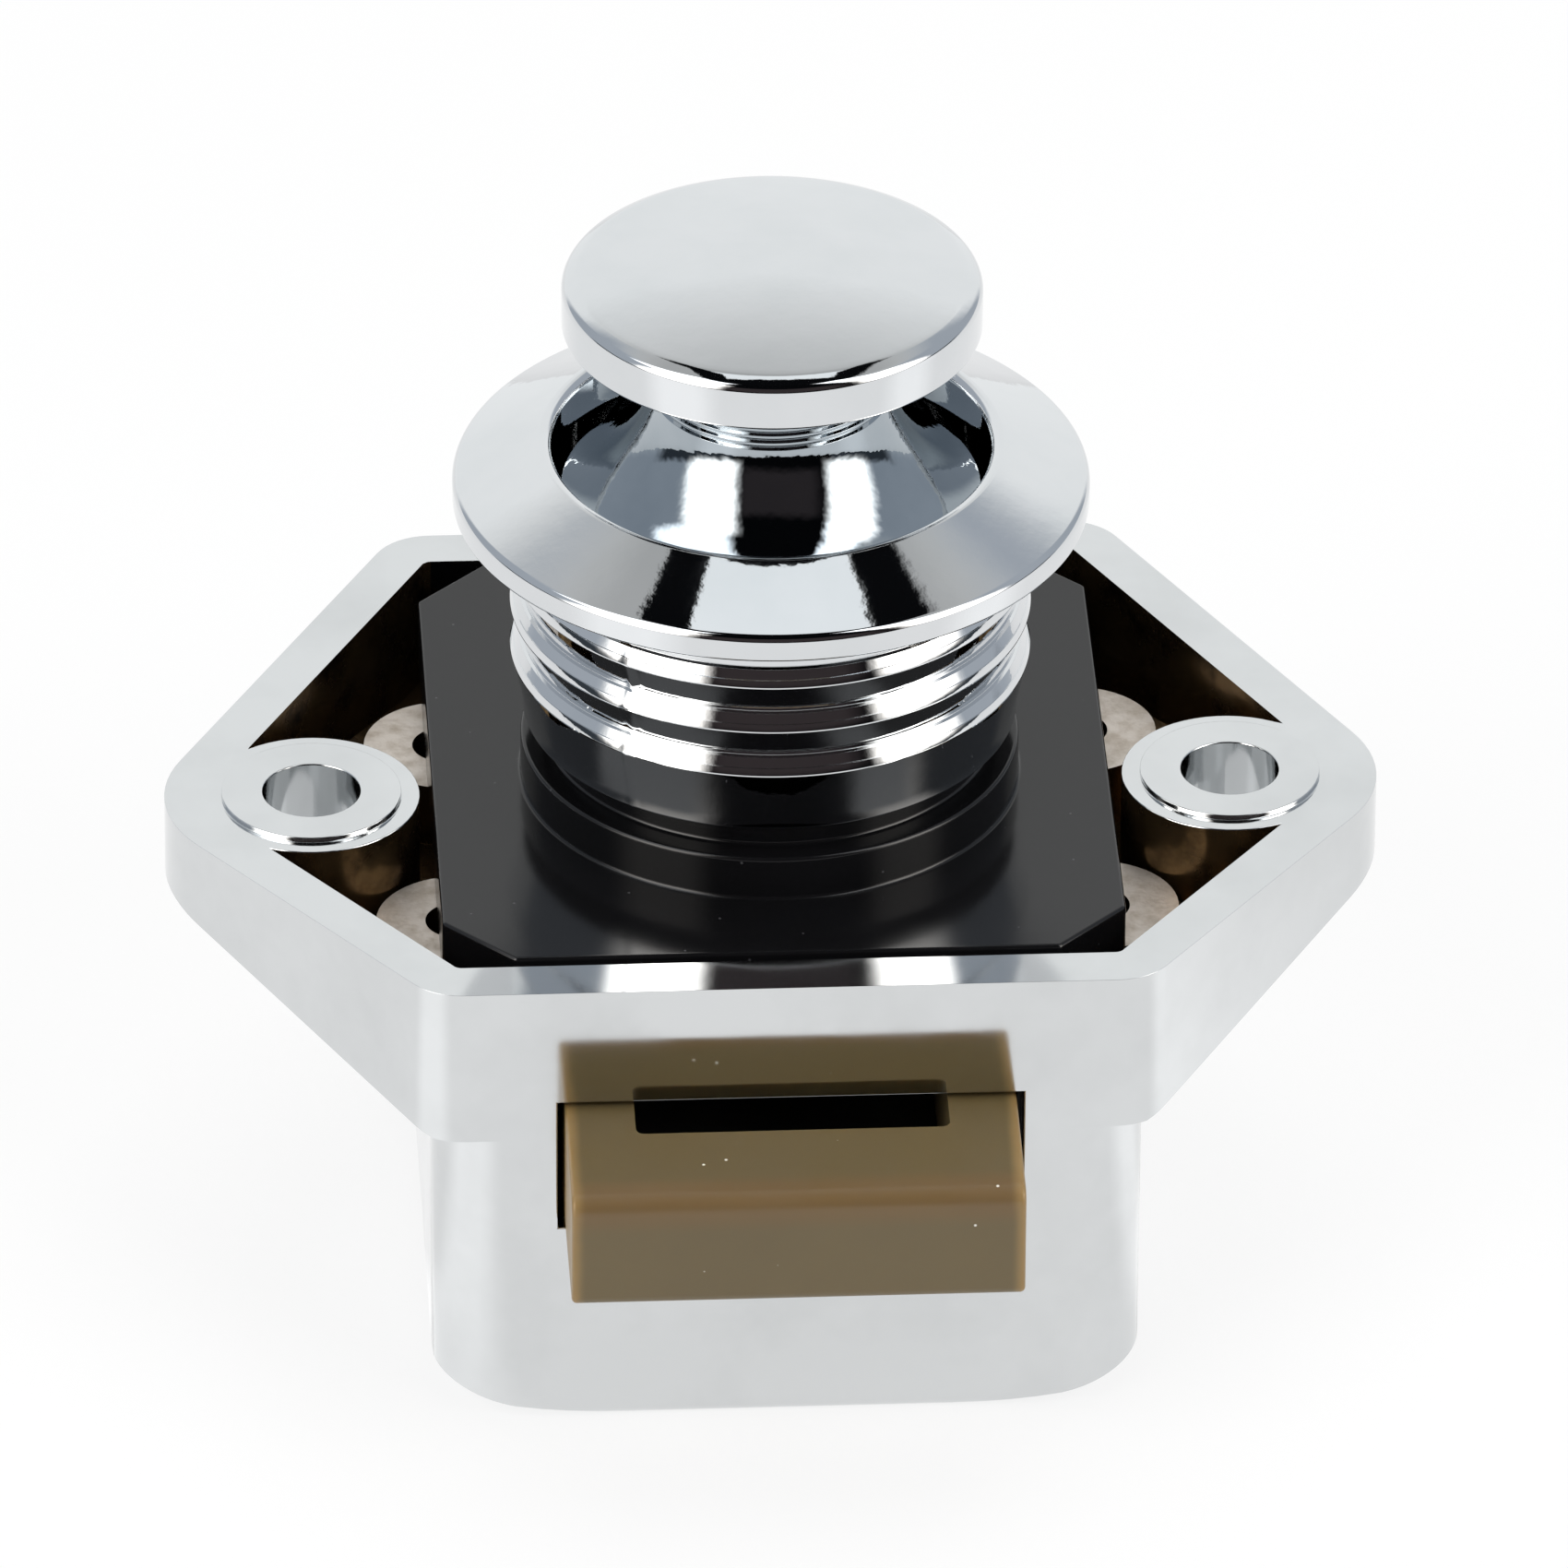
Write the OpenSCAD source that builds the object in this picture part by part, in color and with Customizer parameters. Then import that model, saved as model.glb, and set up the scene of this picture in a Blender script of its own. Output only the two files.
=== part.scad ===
// Push button cabinet lock: a die-cast case with a sliding bolt, a round knob and a screw-on rosette.
// Millimetres. The origin is where the knob axis meets the plane of the case rim, which lies
// against the back of the door. +Z runs out along the knob and -Y is the way the bolt points.

/* [Door and rosette] */
// Thickness of the door that the rosette is set to
door_t = 15.5; // [14:0.1:18]
// Diameter of the hole drilled through the door
door_hole_d = 26; // [25:0.1:28]
// Slack of the ribs in the hole of the door, on the radius
door_hole_slack = 0.3; // [0.2:0.05:0.6]
// Outer radius of the rosette
rosette_r = 15.5; // [14.5:0.1:18]
// Height of the upright edge of the rosette
rosette_edge_h = 1.3; // [0.8:0.1:2]
// Rise of the rosette from its edge to its inner rim
rosette_rise = 2.2; // [1.5:0.1:3]
// Bevel of the rosette's edges
rosette_bevel = 0.3; // [0.1:0.05:0.4]
// Height that the ribs stand out of the sleeve
rib_out = 0.6; // [0.3:0.05:0.8]
// Height of one rib from the lower edge of its crest to its upper foot
rib_h = 0.9; // [0.8:0.05:1.2]
// Height of the crest of a rib
rib_land = 0.45; // [0.3:0.05:0.6]
// Bevel under the crest of a rib
rib_bevel = 0.05; // [0.02:0.01:0.1]
// Inward lean of the crest from its lower edge to its upper edge
rib_lean = 0.15; // [0:0.05:0.2]
// Plain sleeve between the rosette and the first rib
rib_start = 2.35; // [1.6:0.05:2.6]
// Plain foot of the sleeve below the undercut of the last rib
rib_foot = 0.7; // [0.5:0.1:1]
// Distance from one rib to the next
rib_pitch = 2.5; // [2:0.1:2.7]
// Number of ribs round the sleeve
rib_count = 3; // [1:1:4]
// Length of the sleeve below the rosette
sleeve_len = 11.6; // [11:0.1:12]
// Wall of the sleeve where the knob runs in it
sleeve_wall = 1.4; // [1.2:0.1:1.6]
// Running gap between the knob and the sleeve
knob_gap = 0.5; // [0.3:0.05:0.7]
// Step from the bore of the knob out to the thread
thread_step = 0.35; // [0.2:0.05:0.6]

/* [Knob] */
// Travel of the knob
knob_travel = 8.8; // [7.5:0.1:9.5]
// Height of the upright edge of the cap
cap_edge_h = 2.5; // [2:0.1:3.5]
// Height of the dome above that edge
cap_dome_h = 1.1; // [0.6:0.1:2]
// Radius of the spigot under the cap
cap_spigot_r = 5.2; // [4.6:0.1:6]
// Height of the spigot under the cap
cap_spigot_h = 0.9; // [0.6:0.1:1.4]
// Depth of the ring-shaped hollow under the cap
cap_hollow = 1.2; // [0.6:0.1:1.4]
// Wall of the cap outside that hollow
cap_wall = 1; // [0.8:0.1:1.6]
// Width of the foot that joins the spigot to the cap
cap_foot = 0.4; // [0.2:0.1:0.8]
// Material between the end of the stud and the edge of the dome
cap_over_stud = 1.2; // [1:0.1:1.5]
// Radius of the bell's neck, next to the cap
bell_waist_r = 5.6; // [5:0.1:6.5]
// Length of the bell's straight neck
bell_neck_h = 1.1; // [0.8:0.1:2]
// Depth of the bell's widest part below the rosette's rim
bell_drop = 2.9; // [2.6:0.1:3.1]
// Height of the plain skirt of the bell
bell_skirt_h = 0.2; // [0.1:0.1:0.6]
// Radius of the hollow in the foot of the bell
bell_hollow_r = 6.4; // [6.2:0.1:6.6]
// Height of that hollow
bell_hollow_h = 1.8; // [1.4:0.1:2]
// Depth that the shaft stands in the bell
bell_seat = 3.4; // [2.5:0.1:4]
// Radius of the shaft that carries the knob
shaft_r = 3.6; // [3:0.1:4]
// Radius of the stud that joins cap, bell and shaft
stud_r = 1.5; // [1.25:0.05:2]
// Length that the stud is screwed into the shaft
stud_grip = 8; // [6:0.5:10]

/* [Bolt] */
// Width of the bolt
bolt_w = 21.9; // [18:0.1:23]
// Height of the bolt
bolt_h = 6.5; // [5.5:0.1:7.5]
// Depth of the bolt's top face below the rim
bolt_drop = 6.65; // [6:0.05:7.5]
// Throw of the bolt out of the case
bolt_throw = 7.5; // [6:0.1:8.5]
// Fall of the bolt's top face towards its nose
bolt_fall = 0.5; // [0.2:0.1:0.8]
// Radius of the upper edge of the bolt's nose
bolt_nose_r = 0.9; // [0.4:0.1:1.5]
// Bevel of the lower edge of the bolt's nose
bolt_bevel = 0.3; // [0.1:0.05:0.5]
// Width of the window in the bolt
bolt_window_w = 15.2; // [13:0.1:16]
// Radius of the corners of the window
bolt_window_r = 0.4; // [0.3:0.1:2]
// Length of solid nose in front of the window
bolt_nose = 5.4; // [4.5:0.1:6]
// Bar behind the window
bolt_rear_bar = 1.5; // [1.2:0.1:2]
// Radius of the cross pin
pin_r = 1.25; // [1:0.05:1.5]
// Distance of the cross pin in front of the knob axis
pin_ahead = 5; // [4.5:0.1:5.5]
// Depth that the cross pin's near end is sunk in the bolt's side
pin_sunk = 0.3; // [0.1:0.1:0.6]
// Skin of the bolt over the cross pin's far end
pin_skin = 0.5; // [0.4:0.1:1]

/* [Case] */
// Distance of the front face from the knob axis
front_reach = 20.2; // [19.5:0.1:24]
// Width of the body
body_w = 34.6; // [33.5:0.1:37]
// Radius of the upright edges of the body
body_r = 4.2; // [2:0.1:6]
// Radius of the bottom's edges at the sides
bottom_r = 2.4; // [1:0.1:3]
// Radius of the bottom's edges at the front and back
bottom_front_r = 1; // [0.5:0.1:3]
// Width of the flat middle of the bottom
bottom_flat = 8; // [6:0.5:20]
// Radius of the arcs in which the bottom rises from its flat middle to the sides
bottom_crown_r = 50; // [45:5:200]
// Wall of the rim and of the front and back
wall = 2.5; // [2:0.1:3]
// Wall of the body's sides
side_wall = 2; // [1.2:0.1:2.2]
// Thickness of the floor
floor_t = 1.8; // [1.2:0.1:3]
// Radius of the front and back corners of the rim
rim_corner_r = 3; // [2.6:0.1:4]
// Distance of those corners' centres inside the body's sides
rim_inset = 1.5; // [0.8:0.1:2]
// Distance between the two screw holes
screw_spacing = 45; // [44:0.5:52]
// Distance of the screw holes in front of the knob axis
screw_ahead = 1.6; // [0:0.1:3]
// Radius of a screw hole
screw_hole_r = 2.4; // [1.8:0.05:3]
// Radius of the raised ring round a screw hole
screw_ring_r = 4.4; // [3.6:0.1:5]
// Height of the raised ring
screw_ring_h = 0.25; // [0.1:0.05:0.5]
// Radius of the boss round a screw hole
screw_boss_r = 5.3; // [5:0.1:6]
// Radius of the rounded end of a wing
wing_end_r = 7.2; // [6.8:0.1:9]
// Depth of a wing next to the body
wing_root_h = 8.4; // [7:0.1:10]
// Depth of a wing at its end
wing_end_h = 4.1; // [3.5:0.1:5]
// Thickness of the floor of a wing
wing_floor_t = 1.7; // [1:0.1:2.2]
// Radius of a corner post
post_r = 4; // [3:0.1:4.2]
// Gap between the bolt and a corner post
post_clear = 0.65; // [0.4:0.05:1]
// Distance of the corner posts in front of and behind the knob axis
post_reach = 8.1; // [7:0.1:10]
// Depth of the top of a corner post below the rim
post_drop = 3.35; // [2.5:0.05:4]
// Radius of the blind hole in a corner post
post_hole_r = 1.6; // [1:0.1:2]
// Depth of the blind hole in a corner post
post_hole_h = 4.5; // [3:0.1:4.8]

/* [Cover plate] */
// Gap between the cover plate and the body's outline at each side
plate_side_step = 0.7; // [0.2:0.05:0.8]
// Gap between the cover plate and the front wall
plate_front_gap = 0.7; // [0.2:0.05:1]
// Gap between the cover plate and the back wall
plate_back_gap = 0.3; // [0.1:0.05:0.8]
// Corner cut of the cover plate
plate_chamfer = 3.4; // [2:0.1:4.5]
// Radius of the collar on the cover plate
collar_r = 12.2; // [11.5:0.1:12.7]
// Height of the collar
collar_h = 2.3; // [1.5:0.1:3]
// Wall of the tube that the rosette is screwed on
tube_wall = 1.6; // [1.2:0.1:1.8]
// Thickness of the web that carries the spring
web_t = 1.5; // [1:0.1:2]
// Wall of the skirt under the plate
skirt_wall = 1.6; // [1.2:0.1:2]
// Wall between the skirt's hollows and the opening of the cam slide
skirt_rib = 1.8; // [1.4:0.1:2.2]
// Depth of the hollows in the skirt
skirt_hollow_h = 2.2; // [1.5:0.1:2.8]

/* [Bolt guide] */
// Wall of the guide over and beside its hollows
guide_wall = 1.8; // [1.4:0.1:2.2]
// Wall behind the well, which takes the latch wire's pivot
guide_anchor = 3.4; // [3:0.1:4]
// Gap round the cam slide in its well
well_gap = 0.6; // [0.5:0.05:0.8]
// Room in the well behind the latch wire
well_room = 1.1; // [0.9:0.1:1.4]
// Room under the cam slide when the knob is in
blade_room = 1.3; // [0.5:0.1:2]

/* [Cam slide] */
// Thickness of the cam blade
blade_t = 5.5; // [4:0.1:6]
// Width of the pad with the heart-shaped track
pad_w = 9.2; // [8.6:0.1:9.6]
// Thickness of that pad
pad_t = 2.4; // [2.2:0.1:2.8]
// Depth of the heart-shaped track
track_depth = 1.3; // [1:0.1:1.5]
// Height of the groove under the heart-shaped island, above the wire's tip at rest
island_foot = 1.9; // [1.7:0.1:2.2]
// Distance of the island's shoulders below the wire's tip with the knob in
island_head = 1.3; // [1.1:0.1:1.8]
// Height of the point under the island
island_point = 1.4; // [1:0.1:1.8]
// Depth of the notch in the top of the island
island_notch = 0.9; // [0.6:0.1:1.2]
// Material left above and below the ends of the cam slot
slot_land = 1.6; // [1.2:0.1:2]
// Material left in front of the cam slot
slot_front_land = 1.2; // [1:0.1:1.5]
// Material left behind the cam slot
slot_back_land = 1; // [0.8:0.1:1.2]

/* [Springs and latch] */
// Radius of the return spring to the middle of its wire
spring_r = 5.5; // [5.2:0.1:5.8]
// Radius of the return spring's wire
spring_wire_r = 0.35; // [0.3:0.05:0.4]
// Number of turns of the return spring
spring_turns = 6; // [4:0.5:6.5]
// Thickness of the washer under the return spring
washer_t = 0.5; // [0.3:0.1:0.8]
// Radius of the latch wire
wire_r = 0.45; // [0.35:0.05:0.5]
// Distance between the latch wire's pivot and its tip
wire_arm = 10.5; // [9.5:0.1:11]
// Height of the latch wire's tip above the cross pin at rest
tip_rise = 0.4; // [0.2:0.1:0.8]
// Gap between the latch wire and the pad of the cam slide
wire_room = 0.65; // [0.4:0.05:0.8]
// Gap between the tip of the latch wire and the floor of the track
tip_gap = 0.2; // [0.1:0.05:0.3]
// Length of the latch wire's pivot in the guide
pivot_grip = 2; // [1.5:0.1:2.4]
// Room between the latch wire and the back of the bolt's window
window_room = 1.9; // [1.5:0.1:2.5]
// Distance of a lane of the heart-shaped track from its middle
lane_x = 1.6; // [1.4:0.05:1.8]
// Gap between the wire and the walls of the track
lane_gap = 0.3; // [0.2:0.05:0.35]
// Thickness of the leaf spring
leaf_t = 0.25; // [0.15:0.05:0.4]
// Width of the leaf spring
leaf_w = 3.4; // [3:0.1:5]
// Half the height of the leaf spring's foot
leaf_foot = 1.2; // [1:0.1:1.4]
// Height of the leaf spring's lip
leaf_lip = 0.8; // [0.5:0.1:1.2]
// Distance that the lip is bent back
leaf_bend = 0.3; // [0.1:0.05:0.5]
// Height of the leaf spring's screw above the pivot of the wire
leaf_rise = 2; // [1.9:0.1:2.4]
// Distance of the leaf spring's end below the bolt's channel
leaf_drop = 1.2; // [0.8:0.1:1.6]
// Radius of the small screw
screw_r = 0.6; // [0.5:0.05:0.8]
// Length of the small screw in the guide
screw_grip = 2; // [1.5:0.1:2.4]
// Radius of the small screw's head
screw_head_r = 1; // [0.9:0.1:1.2]
// Height of the small screw's head
screw_head_h = 0.35; // [0.25:0.05:0.45]

/* [Fits] */
// Gap between the bolt and the case's front window, each side
bolt_window_gap = 0.35; // [0.2:0.05:0.5]
// Gap between the bolt and its guide
bolt_guide_gap = 0.2; // [0.1:0.05:0.3]
// Gap between the cam slide and what guides it
slide_gap = 0.2; // [0.1:0.05:0.3]
// Gap between the cross pin and the cam slot
slot_gap = 0.07; // [0.03:0.01:0.12]
// Gap between the inner mouldings and the case or its posts
part_gap = 0.25; // [0.15:0.05:0.35]
// Gap at the end of a travel
travel_gap = 0.3; // [0.2:0.05:0.5]
// Gap of the thread between the rosette and its tube
thread_gap = 0.15; // [0.1:0.05:0.2]
// Gap round the washer under the spring
washer_gap = 0.3; // [0.2:0.05:0.4]
// Gap of an assembled joint, on the radius
fit_gap = 0.02; // [0.01:0.01:0.05]
// Gap between two parts that face each other at a stop
stop_gap = 0.1; // [0.05:0.05:0.3]

/* [Hidden] */
$fn = 96;

// Overrun of a cut past the face it leaves, and of a solid into the one it is joined to
over = 1;

// Heights of the rosette, the cap and the bell
rosette_top = door_t + rosette_edge_h + rosette_rise;
crest_r = door_hole_d / 2 - door_hole_slack;
sleeve_r = crest_r - rib_out;
bore_r = sleeve_r - sleeve_wall;
knob_r = bore_r - knob_gap;
sleeve_bottom = door_t - sleeve_len;
cap_bottom = rosette_top + knob_travel - cap_edge_h;
cap_edge = cap_bottom + cap_edge_h;
bell_top = cap_bottom - cap_spigot_h;
bell_shoulder = bell_top - bell_neck_h;
bell_flare = rosette_top - bell_drop;
bell_bottom = bell_flare - bell_skirt_h;
bell_roof = bell_bottom + bell_hollow_h;
stud_socket = bell_roof + bell_seat;
shaft_top = stud_socket - stop_gap;
stud_low = shaft_top - stud_grip;
stud_top = cap_edge - cap_over_stud;

// Tube that the rosette is screwed on
tube_top = bell_bottom - knob_travel - travel_gap;
thread_r = bore_r + thread_step;
tube_r = thread_r - thread_gap;
tube_bore_r = tube_r - tube_wall;

// Bolt, cross pin and cam slot
bolt_top = -bolt_drop;
bolt_bottom = bolt_top - bolt_h;
pin_y = -pin_ahead;
pin_z = bolt_top - bolt_h / 2;
slot_r = pin_r + slot_gap;
slot_low = [pin_y, pin_z];
slot_high = slot_low + [bolt_throw, knob_travel];
blade_front = pin_y - slot_r - slot_front_land;
blade_back = pin_y + bolt_throw + slot_r + slot_back_land;
pad_back = blade_back + pad_t;
blade_bottom = pin_z - slot_r - slot_land;
blade_top = pin_z + knob_travel + slot_r + slot_land;
web_bottom = blade_top + stop_gap;
web_top = web_bottom + web_t;
wire_y = pad_back + wire_room + wire_r;
window_back = wire_y + wire_r + window_room;
window_front = -front_reach - bolt_throw + bolt_nose;
bolt_back = window_back + bolt_rear_bar;

// Case
cavity_front = -front_reach + wall;
cavity_back = bolt_back + bolt_throw + travel_gap;
case_back = cavity_back + wall;
cavity_floor = blade_bottom - knob_travel - blade_room;
case_bottom = cavity_floor - floor_t;
cavity_x = body_w / 2 - side_wall;
wing_x = screw_spacing / 2;
screw_y = -screw_ahead;
rim_x = body_w / 2 - rim_inset;
post_x = bolt_w / 2 + post_clear + post_r;
rim_circles = [
    [rim_x, -front_reach + rim_corner_r, rim_corner_r],
    [wing_x, screw_y, wing_end_r],
    [rim_x, case_back - rim_corner_r, rim_corner_r],
    [-rim_x, case_back - rim_corner_r, rim_corner_r],
    [-wing_x, screw_y, wing_end_r],
    [-rim_x, -front_reach + rim_corner_r, rim_corner_r]
];
wing_end_x = wing_x + wing_end_r;
wing_slope = (wing_root_h - wing_end_h) / (wing_end_x - body_w / 2);

// Cover plate and bolt guide
plate_x = body_w / 2 - plate_side_step;
plate_front = cavity_front + plate_front_gap;
plate_back = cavity_back - plate_back_gap;
skirt_x = post_x - post_r - part_gap;
skirt_low = bolt_top + bolt_guide_gap;
guide_x = cavity_x - part_gap;
guide_top = bolt_bottom - bolt_guide_gap;
well_x = pad_w / 2 + well_gap;
well_front = blade_front - well_gap;
well_back = wire_y + wire_r + well_room;

// Latch wire, its track on the back of the cam slide, and the leaf spring behind it
tip_z = pin_z + tip_rise;
wire_lean = asin(lane_x / wire_arm);
pivot_z = tip_z - wire_arm * cos(wire_lean);
track_low = tip_z - wire_r - lane_gap;
track_high = tip_z + knob_travel + wire_r + lane_gap;
track_x = lane_x + wire_r + lane_gap;
heart_x = lane_x - wire_r - lane_gap;
heart_low = tip_z + island_foot;
heart_high = tip_z + knob_travel - island_head;
leaf_low = pivot_z + leaf_rise;
leaf_high = guide_top - leaf_drop;

// Direction of the outward normal of the belt that runs from circle a to circle b
function belt_normal(a, b) =
    atan2(b[1] - a[1], b[0] - a[0]) - acos((a[2] - b[2]) / norm([b[0] - a[0], b[1] - a[1]]));
function on_circle(c, angle) = [c[0] + c[2] * cos(angle), c[1] + c[2] * sin(angle)];
function belt_points(circles) = [
    for (i = [0 : len(circles) - 1])
        let (a = circles[i], b = circles[(i + 1) % len(circles)], n = belt_normal(a, b))
            each [on_circle(a, n), on_circle(b, n)]
];
function shrunk(circles, by) = [for (c = circles) [c[0], c[1], c[2] - by]];

// Outline of a belt laid tightly round circles, given counter-clockwise
module belt(circles) {
    polygon(belt_points(circles));
    for (c = circles)
        translate([c[0], c[1]])
            circle(r = c[2]);
}

// Rectangle with round corners, from its low corner to its high corner
module round_rect(low, high, r) {
    translate([low[0] + r, low[1]])
        square([high[0] - low[0] - 2 * r, high[1] - low[1]]);
    translate([low[0], low[1] + r])
        square([high[0] - low[0], high[1] - low[1] - 2 * r]);
    for (x = [low[0] + r, high[0] - r], y = [low[1] + r, high[1] - r])
        translate([x, y])
            circle(r = r);
}

// Block between two opposite corners
module block(low, high) {
    translate(low)
        cube(high - low);
}

// Round bar that runs along +Y from a point
module bar_y(from, r, length) {
    translate(from)
        rotate([-90, 0, 0])
            cylinder(r = r, h = length);
}

// Extrusion along Y of an outline drawn in X and Z, from y0 to y1
module along_y(y0, y1) {
    translate([0, y1, 0])
        rotate([90, 0, 0])
            linear_extrude(y1 - y0)
                children();
}

// Extrusion along X of an outline drawn in Y and Z, from x0 to x1
module along_x(x0, x1) {
    translate([x0, 0, 0])
        rotate([90, 0, 90])
            linear_extrude(x1 - x0)
                children();
}

module both_sides() {
    children();
    mirror([1, 0, 0])
        children();
}

module at_posts() {
    for (x = [-post_x, post_x], y = [-post_reach, post_reach])
        translate([x, y, 0])
            children();
}

module case_outer() {
    // The deep body, with its bottom shaped by the front view and the side view
    intersection() {
        translate([0, 0, case_bottom])
            linear_extrude(-case_bottom)
                round_rect([-body_w / 2, -front_reach], [body_w / 2, case_back], body_r);
        along_y(-front_reach - over, case_back + over)
            body_front_view();
        along_x(-body_w, body_w)
            round_rect([-front_reach, case_bottom], [case_back, 2 * bottom_front_r], bottom_front_r);
    }
    // The rim and the two wings, whose undersides rise towards their ends
    intersection() {
        translate([0, 0, -wing_root_h])
            linear_extrude(wing_root_h)
                belt(rim_circles);
        along_y(-front_reach - over, case_back + over)
            wing_profile(0);
    }
}

// Front view of the deep body: flat in the middle of its bottom and rising to the sides
module body_front_view() {
    intersection() {
        round_rect([-body_w / 2, case_bottom], [body_w / 2, 2 * bottom_r], bottom_r);
        union() {
            for (x = [-bottom_flat / 2, bottom_flat / 2])
                translate([x, case_bottom + bottom_crown_r])
                    circle(r = bottom_crown_r);
            translate([-bottom_flat / 2, case_bottom])
                square([bottom_flat, bottom_crown_r]);
        }
    }
}

// Side view of both wings, with the underside raised by lift
module wing_profile(lift) {
    end_x = wing_end_x + over;
    end_z = -wing_end_h + wing_slope * over + lift;
    polygon([
        [-end_x, over], [-end_x, end_z], [-body_w / 2, -wing_root_h + lift],
        [body_w / 2, -wing_root_h + lift], [end_x, end_z], [end_x, over]
    ]);
}

module case_hollow() {
    translate([0, 0, cavity_floor])
        linear_extrude(over - cavity_floor)
            round_rect([-cavity_x, cavity_front], [cavity_x, cavity_back], body_r - side_wall);
    intersection() {
        translate([0, 0, -wing_root_h])
            linear_extrude(wing_root_h + over)
                belt(shrunk(rim_circles, wall));
        along_y(-front_reach, case_back)
            wing_profile(wing_floor_t);
    }
}

module lock_case() {
    color("silver")
        difference() {
            union() {
                difference() {
                    case_outer();
                    case_hollow();
                }
                // Screw bosses and corner posts, kept inside the outside of the case
                intersection() {
                    case_outer();
                    union() {
                        both_sides()
                            translate([wing_x, screw_y, -wing_root_h])
                                cylinder(r = screw_boss_r, h = wing_root_h);
                        at_posts()
                            translate([0, 0, cavity_floor - floor_t / 2])
                                cylinder(r = post_r, h = -post_drop - cavity_floor + floor_t / 2);
                    }
                }
                both_sides()
                    translate([wing_x, screw_y, -over])
                        cylinder(r = screw_ring_r, h = over + screw_ring_h);
            }
            both_sides()
                translate([wing_x, screw_y, -wing_root_h - over])
                    cylinder(r = screw_hole_r, h = wing_root_h + 2 * over);
            at_posts()
                translate([0, 0, -post_drop - post_hole_h])
                    cylinder(r = post_hole_r, h = post_hole_h + over);
            // Window for the bolt
            along_y(-front_reach - over, cavity_front + over)
                translate([-bolt_w / 2 - bolt_window_gap, bolt_bottom - bolt_window_gap])
                    square([bolt_w + 2 * bolt_window_gap, bolt_h + 2 * bolt_window_gap]);
        }
}

module plate_outline() {
    polygon([
        [-plate_x + plate_chamfer, plate_front], [plate_x - plate_chamfer, plate_front],
        [plate_x, plate_front + plate_chamfer], [plate_x, plate_back - plate_chamfer],
        [plate_x - plate_chamfer, plate_back], [-plate_x + plate_chamfer, plate_back],
        [-plate_x, plate_back - plate_chamfer], [-plate_x, plate_front + plate_chamfer]
    ]);
}

module cover_plate() {
    hollow_x = skirt_x - skirt_wall;
    hollow_top = skirt_low + skirt_hollow_h;
    color([0.12, 0.12, 0.13])
        difference() {
            union() {
                translate([0, 0, -post_drop])
                    linear_extrude(post_drop)
                        plate_outline();
                cylinder(r = collar_r, h = collar_h);
                cylinder(r = tube_r, h = tube_top);
                // Skirt that closes the bolt's channel from above
                block([-skirt_x, plate_front, skirt_low], [skirt_x, plate_back, -post_drop + over]);
            }
            // Hollows of the skirt, in front of and behind the slide's opening
            block([-hollow_x, plate_front + skirt_wall, skirt_low - over],
                  [hollow_x, blade_front - slide_gap - skirt_rib, hollow_top]);
            block([-hollow_x, pad_back + slide_gap + skirt_rib, skirt_low - over],
                  [hollow_x, plate_back - skirt_wall, hollow_top]);
            // Opening that guides the cam slide and stops it from turning
            block([-pad_w / 2 - slide_gap, blade_front - slide_gap, skirt_low - over],
                  [pad_w / 2 + slide_gap, pad_back + slide_gap, web_bottom]);
            translate([0, 0, web_bottom - over])
                cylinder(r = shaft_r + slide_gap, h = web_t + 2 * over);
            translate([0, 0, web_top])
                cylinder(r = tube_bore_r, h = tube_top);
        }
}

module bolt_guide() {
    hollow_x = post_x - post_r - part_gap - guide_wall;
    color([0.16, 0.15, 0.14])
        difference() {
            translate([0, 0, cavity_floor])
                linear_extrude(skirt_low - cavity_floor)
                    round_rect([-guide_x, cavity_front + part_gap], [guide_x, cavity_back - part_gap],
                               body_r - side_wall);
            // Channel of the bolt
            block([-bolt_w / 2 - bolt_guide_gap, -front_reach, guide_top],
                  [bolt_w / 2 + bolt_guide_gap, case_back, skirt_low + over]);
            // Well of the cam slide, the latch wire and the leaf spring
            block([-well_x, well_front, cavity_floor - over], [well_x, well_back, guide_top + over]);
            // Room for the corner posts
            at_posts()
                translate([0, 0, cavity_floor - over])
                    cylinder(r = post_r + part_gap, h = -cavity_floor);
            // Hollows that keep the moulding's walls even
            block([-hollow_x, cavity_front + part_gap + guide_wall, cavity_floor - over],
                  [hollow_x, well_front - guide_wall, guide_top - guide_wall]);
            block([-hollow_x, well_back + guide_anchor, cavity_floor - over],
                  [hollow_x, cavity_back - part_gap - guide_wall, guide_top - guide_wall]);
            bar_y([0, well_back - over, pivot_z], wire_r + fit_gap, over + pivot_grip + stop_gap);
            bar_y([0, well_back - over, leaf_low], screw_r + fit_gap, over + screw_grip + stop_gap);
        }
}

// Height of the crest's lower edge of rib i, counted from the rosette down
function rib_low(i) = door_t - rib_start - rib_h - i * rib_pitch;

// Height of the undercut below rib i: down to the next rib, or to the plain foot of the sleeve
function rib_undercut(i) =
    i < rib_count - 1 ? rib_pitch - rib_h : max(rib_low(i) - sleeve_bottom - rib_foot, rib_bevel);

// Outline of one rib, in radius and height: its crest starts at z, and an undercut tapers in below it
module rib_outline(z, undercut) {
    polygon([
        [thread_r + thread_gap, z - undercut], [sleeve_r, z - undercut], [crest_r - rib_bevel, z],
        [crest_r, z + rib_bevel], [crest_r - rib_lean, z + rib_land], [sleeve_r, z + rib_h],
        [thread_r + thread_gap, z + rib_h]
    ]);
}

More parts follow.
